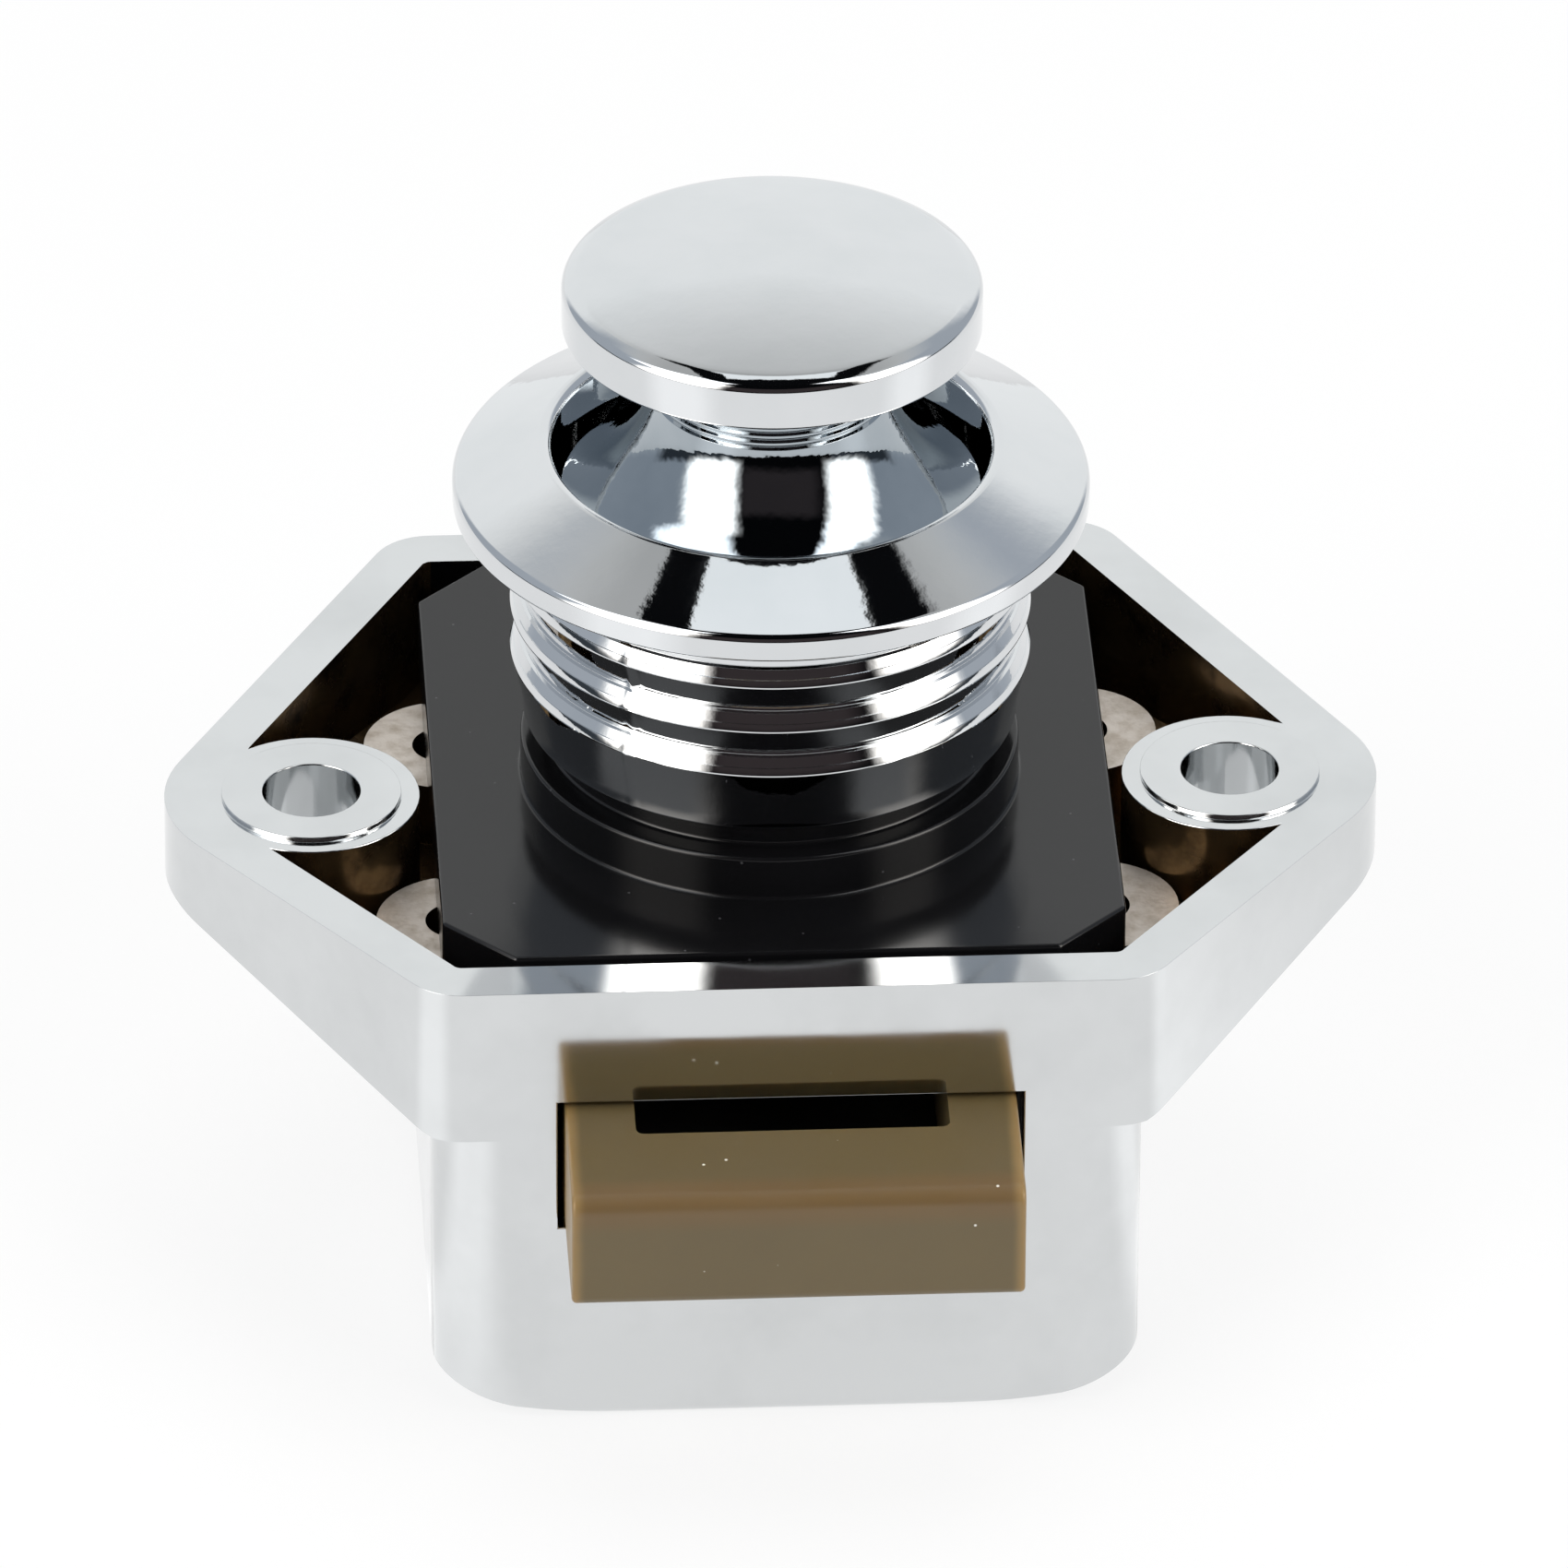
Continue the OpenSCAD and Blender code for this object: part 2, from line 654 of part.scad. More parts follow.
module rosette() {
    edge_top = door_t + rosette_edge_h;
    color("silver")
        rotate_extrude() {
            // Sleeve, with a wider threaded bore where it is screwed on the tube
            polygon([
                [thread_r, sleeve_bottom], [sleeve_r, sleeve_bottom], [sleeve_r, door_t],
                [rosette_r - rosette_bevel, door_t], [rosette_r, door_t + rosette_bevel],
                [rosette_r, edge_top - rosette_bevel], [rosette_r - rosette_bevel, edge_top],
                [bore_r + rosette_bevel, rosette_top], [bore_r, rosette_top - rosette_bevel],
                [bore_r, tube_top + travel_gap], [thread_r, tube_top + travel_gap]
            ]);
            for (i = [0 : rib_count - 1])
                rib_outline(rib_low(i), rib_undercut(i));
        }
}

module knob_cap() {
    dome_r = (pow(knob_r, 2) + pow(cap_dome_h, 2)) / (2 * cap_dome_h);
    color("silver")
        difference() {
            union() {
                translate([0, 0, cap_bottom])
                    cylinder(r = knob_r, h = cap_edge_h);
                translate([0, 0, bell_top])
                    cylinder(r = cap_spigot_r, h = cap_spigot_h + over);
                intersection() {
                    translate([0, 0, cap_edge + cap_dome_h - dome_r])
                        sphere(r = dome_r);
                    translate([0, 0, cap_bottom])
                        cylinder(r = knob_r, h = cap_edge_h + cap_dome_h + over);
                }
            }
            // Hollow under the cap
            rotate_extrude()
                translate([cap_spigot_r + cap_foot, cap_bottom - over])
                    square([knob_r - cap_wall - cap_spigot_r - cap_foot, cap_hollow + over]);
            translate([0, 0, bell_top - over])
                cylinder(r = stud_r + fit_gap, h = over + stud_top - bell_top + stop_gap);
        }
}

// Flank of the bell: a round arc that leaves the end of the neck upright and ends at the widest part
function bell_flank(steps) =
    let (out = knob_r - bell_waist_r,
         drop = bell_shoulder - bell_flare,
         arc_r = (pow(out, 2) + pow(drop, 2)) / (2 * out),
         sweep = 2 * atan(out / drop))
    [for (i = [0 : steps])
        let (a = sweep * i / steps)
            [bell_waist_r + arc_r * (1 - cos(a)), bell_shoulder - arc_r * sin(a)]];

module knob_bell() {
    color("silver")
        rotate_extrude()
            polygon(concat(
                [[stud_r + fit_gap, bell_top], [bell_waist_r, bell_top]],
                bell_flank(12),
                [[knob_r, bell_bottom], [bell_hollow_r, bell_bottom], [bell_hollow_r, bell_roof],
                 [shaft_r + fit_gap, bell_roof], [shaft_r + fit_gap, stud_socket],
                 [stud_r + fit_gap, stud_socket]]
            ));
}

module knob_stud() {
    color("dimgray")
        translate([0, 0, stud_low])
            cylinder(r = stud_r, h = stud_top - stud_low);
}

module cam_slide() {
    color([0.15, 0.15, 0.15])
        difference() {
            union() {
                block([-blade_t / 2, blade_front, blade_bottom], [blade_t / 2, pad_back, blade_top]);
                block([-pad_w / 2, blade_back, blade_bottom], [pad_w / 2, pad_back, blade_top]);
                translate([0, 0, blade_top - over])
                    cylinder(r = shaft_r, h = over + shaft_top - blade_top);
            }
            translate([0, 0, stud_low - stop_gap])
                cylinder(r = stud_r + fit_gap, h = stud_grip + stop_gap + over);
            cam_slot();
            heart_track();
        }
}

// Inclined slot: the knob's travel lifts its far end to the cross pin as the bolt is drawn in
module cam_slot() {
    side = slot_r * [-knob_travel, bolt_throw] / norm([bolt_throw, knob_travel]);
    along_x(-blade_t, blade_t) {
        for (end = [slot_low, slot_high])
            translate(end)
                circle(r = slot_r);
        polygon([slot_low + side, slot_low - side, slot_high - side, slot_high + side]);
    }
}

// Groove round a heart-shaped island, whose notch holds the latch wire when the knob is in
module heart_track() {
    along_y(pad_back - track_depth, pad_back + over)
        difference() {
            translate([-track_x, track_low])
                square([2 * track_x, track_high - track_low]);
            polygon([
                [0, heart_low], [heart_x, heart_low + island_point], [heart_x, heart_high],
                [0, heart_high - island_notch], [-heart_x, heart_high],
                [-heart_x, heart_low + island_point]
            ]);
        }
}

module bolt() {
    nose_y = -front_reach - bolt_throw;
    nose_top = bolt_top - bolt_fall;
    color([0.45, 0.4, 0.28])
        difference() {
            along_x(-bolt_w / 2, bolt_w / 2) {
                polygon([
                    [nose_y, bolt_bottom + bolt_bevel], [nose_y + bolt_bevel, bolt_bottom],
                    [bolt_back, bolt_bottom], [bolt_back, bolt_top], [-front_reach, bolt_top],
                    [nose_y + bolt_nose_r, nose_top], [nose_y, nose_top - bolt_nose_r]
                ]);
                translate([nose_y + bolt_nose_r, nose_top - bolt_nose_r])
                    circle(r = bolt_nose_r);
            }
            translate([0, 0, bolt_bottom - over])
                linear_extrude(bolt_h + 2 * over)
                    round_rect([-bolt_window_w / 2, window_front], [bolt_window_w / 2, window_back],
                               bolt_window_r);
            cross_bar(-bolt_w / 2 - over, bolt_w / 2 - pin_skin, pin_r + fit_gap);
        }
}

// Round bar along X in the place of the cross pin
module cross_bar(x0, x1, r) {
    translate([x0, pin_y, pin_z])
        rotate([0, 90, 0])
            cylinder(r = r, h = x1 - x0);
}

module cam_pin() {
    color("gainsboro")
        cross_bar(-bolt_w / 2 + pin_sunk, bolt_w / 2 - pin_skin - stop_gap, pin_r);
}

// Points of one ring of the spring's wire at a turn angle
function wire_ring(angle, z, sides) = [
    for (k = [0 : sides - 1])
        let (a = 360 * k / sides, r = spring_r + spring_wire_r * cos(a))
            [r * cos(angle), r * sin(angle), z + spring_wire_r * sin(a)]
];

module return_spring() {
    sides = 8;
    rings_per_turn = 20;
    rings = spring_turns * rings_per_turn;
    low = web_top + washer_t + spring_wire_r + fit_gap;
    high = bell_roof - spring_wire_r - fit_gap;
    points = [
        for (i = [0 : rings])
            each wire_ring(360 * i / rings_per_turn, low + (high - low) * i / rings, sides)
    ];
    faces = concat(
        [[for (k = [0 : sides - 1]) k]],
        [for (i = [0 : rings - 1], k = [0 : sides - 1])
            let (next = (k + 1) % sides)
                [i * sides + k, (i + 1) * sides + k, (i + 1) * sides + next, i * sides + next]],
        [[for (k = [sides - 1 : -1 : 0]) rings * sides + k]]
    );
    color("gainsboro")
        polyhedron(points = points, faces = faces);
}

module spring_washer() {
    color("gainsboro")
        translate([0, 0, web_top])
            difference() {
                cylinder(r = tube_bore_r - washer_gap, h = washer_t);
                translate([0, 0, -over])
                    cylinder(r = shaft_r + washer_gap, h = washer_t + 2 * over);
            }
}

module latch_wire() {
    tip_front = pad_back - track_depth + tip_gap;
    // The bends are spheres a little larger than the wire, so that the wires meet inside them
    bend_r = wire_r + fit_gap;
    color("gainsboro") {
        translate([0, wire_y, pivot_z])
            rotate([0, -wire_lean, 0])
                cylinder(r = wire_r, h = wire_arm);
        bar_y([-lane_x, tip_front, tip_z], wire_r, wire_y - tip_front);
        translate([-lane_x, wire_y, tip_z])
            sphere(r = bend_r);
        bar_y([0, wire_y, pivot_z], wire_r, well_back - wire_y + pivot_grip);
        translate([0, wire_y, pivot_z])
            sphere(r = bend_r);
    }
}

// Strip that is screwed on the guide and leans forward on the latch wire
module leaf_spring() {
    touch_y = wire_y + wire_r + fit_gap;
    foot_y = well_back - leaf_t;
    color("gainsboro")
        difference() {
            along_x(-leaf_w / 2, leaf_w / 2)
                polygon([
                    [well_back, leaf_low - leaf_foot], [well_back, leaf_low + leaf_foot],
                    [touch_y + leaf_t, leaf_high - leaf_lip], [touch_y + leaf_t + leaf_bend, leaf_high],
                    [touch_y + leaf_bend, leaf_high], [touch_y, leaf_high - leaf_lip],
                    [foot_y, leaf_low + leaf_foot], [foot_y, leaf_low - leaf_foot]
                ]);
            bar_y([0, foot_y - over, leaf_low], screw_r + fit_gap, leaf_t + 2 * over);
        }
}

module leaf_screw() {
    head_y = well_back - leaf_t - screw_head_h;
    color("gainsboro") {
        bar_y([0, head_y, leaf_low], screw_head_r, screw_head_h);
        bar_y([0, head_y, leaf_low], screw_r, screw_head_h + leaf_t + screw_grip);
    }
}

lock_case();
cover_plate();
bolt_guide();
rosette();
knob_cap();
knob_bell();
knob_stud();
cam_slide();
bolt();
cam_pin();
return_spring();
spring_washer();
latch_wire();
leaf_spring();
leaf_screw();
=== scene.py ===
"""Looks of a push button cabinet lock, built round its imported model.

Sizes are in millimetres and become metres when a mesh is made. The axes are those of the frame:
the knob's axis is Z and points out of the door, the bolt points along -Y, and the two screw holes
lie along X. The origin is where the knob's axis meets the plane of the case's rim.
"""

import logging
import math
from collections.abc import Callable
from dataclasses import dataclass
from enum import Enum

import bmesh
import bpy
from mathutils import Matrix, Vector
from mathutils.bvhtree import BVHTree


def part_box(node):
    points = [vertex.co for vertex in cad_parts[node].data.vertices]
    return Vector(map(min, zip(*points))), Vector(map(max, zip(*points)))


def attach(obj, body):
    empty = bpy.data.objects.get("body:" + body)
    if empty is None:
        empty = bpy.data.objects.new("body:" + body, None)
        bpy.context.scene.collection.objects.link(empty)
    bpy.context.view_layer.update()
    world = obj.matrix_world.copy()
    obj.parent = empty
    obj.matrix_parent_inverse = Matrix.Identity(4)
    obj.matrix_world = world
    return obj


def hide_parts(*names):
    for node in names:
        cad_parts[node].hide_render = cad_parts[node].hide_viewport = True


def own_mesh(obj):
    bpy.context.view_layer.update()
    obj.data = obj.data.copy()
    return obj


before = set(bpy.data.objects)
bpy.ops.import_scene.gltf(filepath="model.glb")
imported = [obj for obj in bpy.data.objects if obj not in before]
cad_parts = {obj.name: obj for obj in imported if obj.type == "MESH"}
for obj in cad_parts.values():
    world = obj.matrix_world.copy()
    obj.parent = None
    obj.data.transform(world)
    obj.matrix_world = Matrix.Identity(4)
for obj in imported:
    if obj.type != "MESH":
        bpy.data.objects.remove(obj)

MM = 0.001
# Values between which nearly all of a noise texture lies
NOISE_SPREAD = (0.3, 0.7)
# Part of a dust speck's radius inside which it has its full colour
DUST_CORE = 0.6
# Distance within which the vertices of a turned solid and of a copied node become one
TURNED_WELD = 0.0005
NODE_WELD = 0.002
# Faces of a copied node that turn by less than this become one
FLAT_DEG = 0.4
log = logging.getLogger("lock")


class Slot(Enum):
    """Material slots of the record."""

    CASE = "chrome_zinc"
    TRIM = "chrome_abs"
    PLATE = "black_plastic"
    GUIDE = "guide_plastic"
    CAM = "cam_acetal"
    BOLT = "bolt_nylon"
    ZINC = "zinc_steel"
    GROUND = "ground_steel"
    SPRING = "spring_steel"


class Body(Enum):
    """Bodies of the frame that finished pieces ride on."""

    CASE = "case"
    KNOB = "knob"
    BOLT = "draw_bolt"


def linear(code: str) -> tuple:
    """Turns an sRGB hex colour into the linear colour that a shader takes.

    Args:
        code: Six hex digits, with or without a leading hash.

    Returns:
        Red, green, blue and an alpha of 1.
    """
    digits = code.lstrip("#")
    parts = [int(digits[i:i + 2], 16) / 255 for i in (0, 2, 4)]
    toned = [p / 12.92 if p <= 0.04045 else ((p + 0.055) / 1.055) ** 2.4 for p in parts]
    return (*toned, 1.0)


def node(tree: bpy.types.NodeTree, kind: str, inputs: dict = None, **settings) -> bpy.types.Node:
    """Adds a node with its settings, its values and its links.

    Args:
        tree: Tree that the node is added to.
        kind: Blender's name of the node type.
        inputs: For each input, by name or number, a value or the socket that feeds it.
        settings: Properties of the node itself.

    Returns:
        The new node.
    """
    made = tree.nodes.new(kind)
    for name, value in settings.items():
        setattr(made, name, value)
    for key, value in (inputs or {}).items():
        if isinstance(value, bpy.types.NodeSocket):
            tree.links.new(value, made.inputs[key])
        else:
            made.inputs[key].default_value = value
    return made


def blank_material(name: str) -> tuple:
    """Starts a material.

    Args:
        name: Name of the material.

    Returns:
        The material, its emptied node tree and the socket with Object coordinates.
    """
    material = bpy.data.materials.new(name)
    material.use_nodes = True
    tree = material.node_tree
    tree.nodes.clear()
    place = node(tree, "ShaderNodeTexCoord").outputs["Object"]
    return material, tree, place


@dataclass(frozen=True)
class Chrome:
    """Bright chrome plate: a mirror that follows every wave of what lies under it."""

    name: str
    colour: str
    stain_and_shade: str
    roughness: float
    haze: float
    wave_mm: float
    wave_height_mm: float
    stretch: tuple = (1, 1, 1)
    stain_and_shade_mm: float = 9.0
    metallic: float = 1.0
    detail: float = 1.5
    stain_and_shade_range: tuple = (0.42, 0.72)
    haze_range: tuple = (0.35, 0.75)

    def build(self) -> bpy.types.Material:
        """Makes the material.

        Returns:
            The material.
        """
        material, tree, place = blank_material(self.name)
        clouds = node(tree, "ShaderNodeTexNoise",
                      {"Vector": place, "Scale": 1 / (self.stain_and_shade_mm * MM), "Detail": 4, "Roughness": 0.6})
        tone = node(tree, "ShaderNodeMapRange",
                    {"Value": clouds.outputs["Fac"], "From Min": self.stain_and_shade_range[0],
                     "From Max": self.stain_and_shade_range[1]})
        # Mottles the colour towards stain_and_shade: real faint stains on the case and trim, painted shade
        # in the pockets and on the bell
        colour = node(tree, "ShaderNodeMix",
                      {"Factor": tone.outputs[0], "A": linear(self.colour), "B": linear(self.stain_and_shade)},
                      data_type="RGBA")
        haze = node(tree, "ShaderNodeMapRange",
                    {"Value": clouds.outputs["Fac"], "From Min": self.haze_range[0],
                     "From Max": self.haze_range[1], "To Min": self.roughness,
                     "To Max": self.roughness + self.haze})
        turned = node(tree, "ShaderNodeMapping", {"Vector": place, "Scale": self.stretch})
        waves = node(tree, "ShaderNodeTexNoise",
                     {"Vector": turned.outputs[0], "Scale": 1 / (self.wave_mm * MM), "Detail": self.detail})
        bump = node(tree, "ShaderNodeBump",
                    {"Height": waves.outputs["Fac"], "Strength": 1.0,
                     "Distance": self.wave_height_mm * MM})
        shader = node(tree, "ShaderNodeBsdfPrincipled",
                      {"Base Color": colour.outputs["Result"], "Metallic": self.metallic,
                       "Roughness": haze.outputs[0], "Normal": bump.outputs[0]})
        node(tree, "ShaderNodeOutputMaterial", {"Surface": shader.outputs[0]})
        return material


@dataclass(frozen=True)
class Moulding:
    """Moulded plastic: a skin that copies the polish of its mould, with faint flow clouds and dust."""

    name: str
    colour: str
    cloud: str
    dust: str
    roughness: float
    haze: float
    grain_mm: float
    grain_height_mm: float
    cloud_mm: float = 6
    dust_mm: float = 1.6
    dust_size: float = 0.05
    ior: float = 1.5

    def build(self) -> bpy.types.Material:
        """Makes the material.

        Returns:
            The material.
        """
        material, tree, place = blank_material(self.name)
        clouds = node(tree, "ShaderNodeTexNoise",
                      {"Vector": place, "Scale": 1 / (self.cloud_mm * MM), "Detail": 3})
        base = node(tree, "ShaderNodeMix",
                    {"Factor": clouds.outputs["Fac"], "A": linear(self.colour), "B": linear(self.cloud)},
                    data_type="RGBA")
        specks = node(tree, "ShaderNodeTexVoronoi",
                      {"Vector": place, "Scale": 1 / (self.dust_mm * MM), "Randomness": 1.0})
        speck = node(tree, "ShaderNodeMapRange",
                     {"Value": specks.outputs["Distance"], "From Min": self.dust_size,
                      "From Max": self.dust_size * DUST_CORE})
        colour = node(tree, "ShaderNodeMix",
                      {"Factor": speck.outputs[0], "A": base.outputs["Result"], "B": linear(self.dust)},
                      data_type="RGBA")
        haze = node(tree, "ShaderNodeMapRange",
                    {"Value": clouds.outputs["Fac"], "From Min": NOISE_SPREAD[0],
                     "From Max": NOISE_SPREAD[1], "To Min": self.roughness,
                     "To Max": self.roughness + self.haze})
        grain = node(tree, "ShaderNodeTexNoise",
                     {"Vector": place, "Scale": 1 / (self.grain_mm * MM), "Detail": 3})
        bump = node(tree, "ShaderNodeBump",
                    {"Height": grain.outputs["Fac"], "Strength": 1.0,
                     "Distance": self.grain_height_mm * MM})
        shader = node(tree, "ShaderNodeBsdfPrincipled",
                      {"Base Color": colour.outputs["Result"], "Roughness": haze.outputs[0],
                       "IOR": self.ior, "Normal": bump.outputs[0]})
        node(tree, "ShaderNodeOutputMaterial", {"Surface": shader.outputs[0]})
        return material


@dataclass(frozen=True)
class BoltNylon:
    """Moulded nylon that lets light through its thin edges, and has that glow also painted into its colour:
    a paler colour along its sides and a warmer one at its nose.
    """

    name: str = "olive_nylon_moulding"
    colour: str = "#695a3a"
    cloud: str = "#61543a"
    # Painted glow: edge is painted along the sides and painted_glow_warm at the nose, standing in for light
    # coming through the thin nylon
    edge: str = "#94794c"
    painted_glow_warm: str = "#77552f"
    dust: str = "#e8e4da"
    half_width: float = 10.95
    edge_width: float = 0.75
    edge_wobble: float = 0.4
    painted_glow_edge_share: float = 0.85
    nose: tuple = (0, -26.9, -7.9)
    nose_core: float = 0.6
    nose_reach: float = 1.5
    painted_glow_nose_share: float = 0.4
    cloud_mm: float = 5
    dust_mm: float = 1.9
    dust_size: float = 0.055
    grain_mm: float = 0.4
    grain_height_mm: float = 0.004
    roughness: tuple = (0.32, 0.42)
    ior: float = 1.5
    glow_weight: float = 0.25
    glow_depth: float = 1.0
    glow_tint: tuple = (1.0, 0.6, 0.3)

    def build(self) -> bpy.types.Material:
        """Makes the material.

        Returns:
            The material.
        """
        material, tree, place = blank_material(self.name)
        clouds = node(tree, "ShaderNodeTexNoise",
                      {"Vector": place, "Scale": 1 / (self.cloud_mm * MM), "Detail": 4})
        base = node(tree, "ShaderNodeMix",
                    {"Factor": clouds.outputs["Fac"], "A": linear(self.colour), "B": linear(self.cloud)},
                    data_type="RGBA")
        parts = node(tree, "ShaderNodeSeparateXYZ", {0: place})
        side = node(tree, "ShaderNodeMath", {0: parts.outputs[0]}, operation="ABSOLUTE")
        wobble = node(tree, "ShaderNodeMath",
                      {0: clouds.outputs["Fac"], 1: self.edge_wobble * MM, 2: side.outputs[0]},
                      operation="MULTIPLY_ADD")
        # Painted glow along both sides
        start = (self.half_width - self.edge_width + self.edge_wobble / 2) * MM
        end = (self.half_width + self.edge_wobble / 4) * MM
        painted_glow_sides = node(tree, "ShaderNodeMapRange",
                    {"Value": wobble.outputs[0], "From Min": start, "From Max": end,
                     "To Max": self.painted_glow_edge_share}, interpolation_type="SMOOTHSTEP")
        # Painted glow round the nose
        lane = node(tree, "ShaderNodeVectorMath", {0: place, 1: (0, 1, 1)}, operation="MULTIPLY")
        middle = tuple(v * MM for v in self.nose)
        near = node(tree, "ShaderNodeVectorMath", {0: lane.outputs[0], 1: middle}, operation="DISTANCE")
        nose = node(tree, "ShaderNodeMapRange",
                    {"Value": near.outputs["Value"], "From Min": self.nose_reach * MM,
                     "From Max": self.nose_core * MM, "To Max": self.painted_glow_nose_share},
                    interpolation_type="SMOOTHSTEP")
        glow_warmed = node(tree, "ShaderNodeMix",
                      {"Factor": nose.outputs[0], "A": base.outputs["Result"], "B": linear(self.painted_glow_warm)},
                      data_type="RGBA")
        glow_edged = node(tree, "ShaderNodeMix",
                     {"Factor": painted_glow_sides.outputs[0], "A": glow_warmed.outputs["Result"], "B": linear(self.edge)},
                     data_type="RGBA")
        specks = node(tree, "ShaderNodeTexVoronoi",
                      {"Vector": place, "Scale": 1 / (self.dust_mm * MM), "Randomness": 1.0})
        speck = node(tree, "ShaderNodeMapRange",
                     {"Value": specks.outputs["Distance"], "From Min": self.dust_size,
                      "From Max": self.dust_size * DUST_CORE})
        colour = node(tree, "ShaderNodeMix",
                      {"Factor": speck.outputs[0], "A": glow_edged.outputs["Result"], "B": linear(self.dust)},
                      data_type="RGBA")
        haze = node(tree, "ShaderNodeMapRange",
                    {"Value": clouds.outputs["Fac"], "From Min": NOISE_SPREAD[0],
                     "From Max": NOISE_SPREAD[1], "To Min": self.roughness[0],
                     "To Max": self.roughness[1]})
        grain = node(tree, "ShaderNodeTexNoise",
                     {"Vector": place, "Scale": 1 / (self.grain_mm * MM), "Detail": 3})
        bump = node(tree, "ShaderNodeBump",
                    {"Height": grain.outputs["Fac"], "Strength": 1.0,
                     "Distance": self.grain_height_mm * MM})
        shader = node(tree, "ShaderNodeBsdfPrincipled",
                      {"Base Color": colour.outputs["Result"], "Roughness": haze.outputs[0],
                       "IOR": self.ior, "Subsurface Weight": self.glow_weight,
                       "Subsurface Radius": self.glow_tint, "Subsurface Scale": self.glow_depth * MM,
                       "Normal": bump.outputs[0]})
        node(tree, "ShaderNodeOutputMaterial", {"Surface": shader.outputs[0]})
        return material


@dataclass(frozen=True)
class Steel:
    """Steel, drawn, ground or zinc plated: a grey metal with a fine pattern from how it was worked."""

    name: str
    colour: str
    tint: str
    roughness: float
    line_mm: float
    stretch: tuple
    line_height_mm: float = 0.01
    line_strength: float = 0.6

    def build(self) -> bpy.types.Material:
        """Makes the material.

        Returns:
            The material.
        """
        material, tree, place = blank_material(self.name)
        drawn = node(tree, "ShaderNodeMapping", {"Vector": place, "Scale": self.stretch})
        lines = node(tree, "ShaderNodeTexNoise",
                     {"Vector": drawn.outputs[0], "Scale": 1 / (self.line_mm * MM), "Detail": 4})
        colour = node(tree, "ShaderNodeMix",
                      {"Factor": lines.outputs["Fac"], "A": linear(self.colour), "B": linear(self.tint)},
                      data_type="RGBA")
        bump = node(tree, "ShaderNodeBump",
                    {"Height": lines.outputs["Fac"], "Strength": self.line_strength,
                     "Distance": self.line_height_mm * MM})
        shader = node(tree, "ShaderNodeBsdfPrincipled",
                      {"Base Color": colour.outputs["Result"], "Metallic": 1.0,
                       "Roughness": self.roughness, "Normal": bump.outputs[0]})
        node(tree, "ShaderNodeOutputMaterial", {"Surface": shader.outputs[0]})
        return material


# Zinc casting, tumbled and then bright plated: a mirror with a slight haze and shallow ripples
CASE_CHROME = Chrome("plated_zinc_casting", colour="#d5d7d8", stain_and_shade="#cdcfd0", roughness=0.07, haze=0.05,
                     wave_mm=2.5, wave_height_mm=0.002, stretch=(0.6, 1, 2.5))
# Inside of the pockets: thin brownish plating where hardly any chrome settles, darkened and mottled with
# painted shade of the deep recesses, with dull gold glimmers
SHADED_POCKET_CHROME = Chrome("starved_plating_and_painted_shade", colour="#8f7552", stain_and_shade="#2a2018", roughness=0.16, haze=0.2,
                       wave_mm=1.5, wave_height_mm=0.014, stain_and_shade_mm=2.5, metallic=0.92)
# Tops of the corner posts: beige, rough and mottled
POST_CHROME = Chrome("pale_post_top", colour="#e6ddd3", stain_and_shade="#cbbfb0", roughness=0.4, haze=0.2,
                     wave_mm=0.3, wave_height_mm=0.025, stain_and_shade_mm=0.9, metallic=0.6)
# Chrome on moulded plastic: a clean mirror whose reflections have slightly ragged edges
TRIM_CHROME = Chrome("plated_abs", colour="#d8dadc", stain_and_shade="#d2d5d7", roughness=0.02, haze=0.02,
                     wave_mm=1.8, wave_height_mm=0.010, detail=4)
# The same plating on the bell, over a wavier moulding, with painted shade: bluer and darker where it sits
# deep under the cap
SHADED_BELL_CHROME = Chrome("plated_bell_painted_shade", colour="#a9b1b7", stain_and_shade="#9aa3aa", roughness=0.02, haze=0.02,
                     wave_mm=1.8, wave_height_mm=0.024, detail=3)
# Black plastic from a polished mould: a dim, slightly soft mirror with dust on it
PLATE_BLACK = Moulding("black_abs_moulding", colour="#0f0f10", cloud="#141416", dust="#4a4a4c",
                       roughness=0.12, haze=0.06, grain_mm=2.0, grain_height_mm=0.003, ior=1.4)
# Dark nylon from a matt mould: dull, with a fine grain
GUIDE_BLACK = Moulding("dark_nylon_moulding", colour="#242322", cloud="#2c2a28", dust="#4c4a48",
                       roughness=0.45, haze=0.1, grain_mm=0.3, grain_height_mm=0.006)
# Black acetal: satin, as if it were slightly greasy
CAM_BLACK = Moulding("black_acetal_moulding", colour="#1a1a1a", cloud="#222222", dust="#505050",
                     roughness=0.3, haze=0.1, grain_mm=0.3, grain_height_mm=0.004)
# Zinc plated steel: pale grey with a cloudy skin
ZINC_STEEL = Steel("zinc_plated_steel", colour="#c9c8c2", tint="#b3b2ab", roughness=0.28, line_mm=0.6,
                   stretch=(1, 1, 1))
# Ground steel: bright, with fine lines along the pin
GROUND_STEEL = Steel("ground_steel_pin", colour="#cfcfcf", tint="#b8b8b8", roughness=0.18, line_mm=0.3,
                     stretch=(1, 12, 12))
# Drawn spring wire: darker grey, finely mottled
SPRING_STEEL = Steel("drawn_spring_wire", colour="#b5b5b5", tint="#8f8f8f", roughness=0.25, line_mm=0.25,
                     stretch=(1, 1, 1))


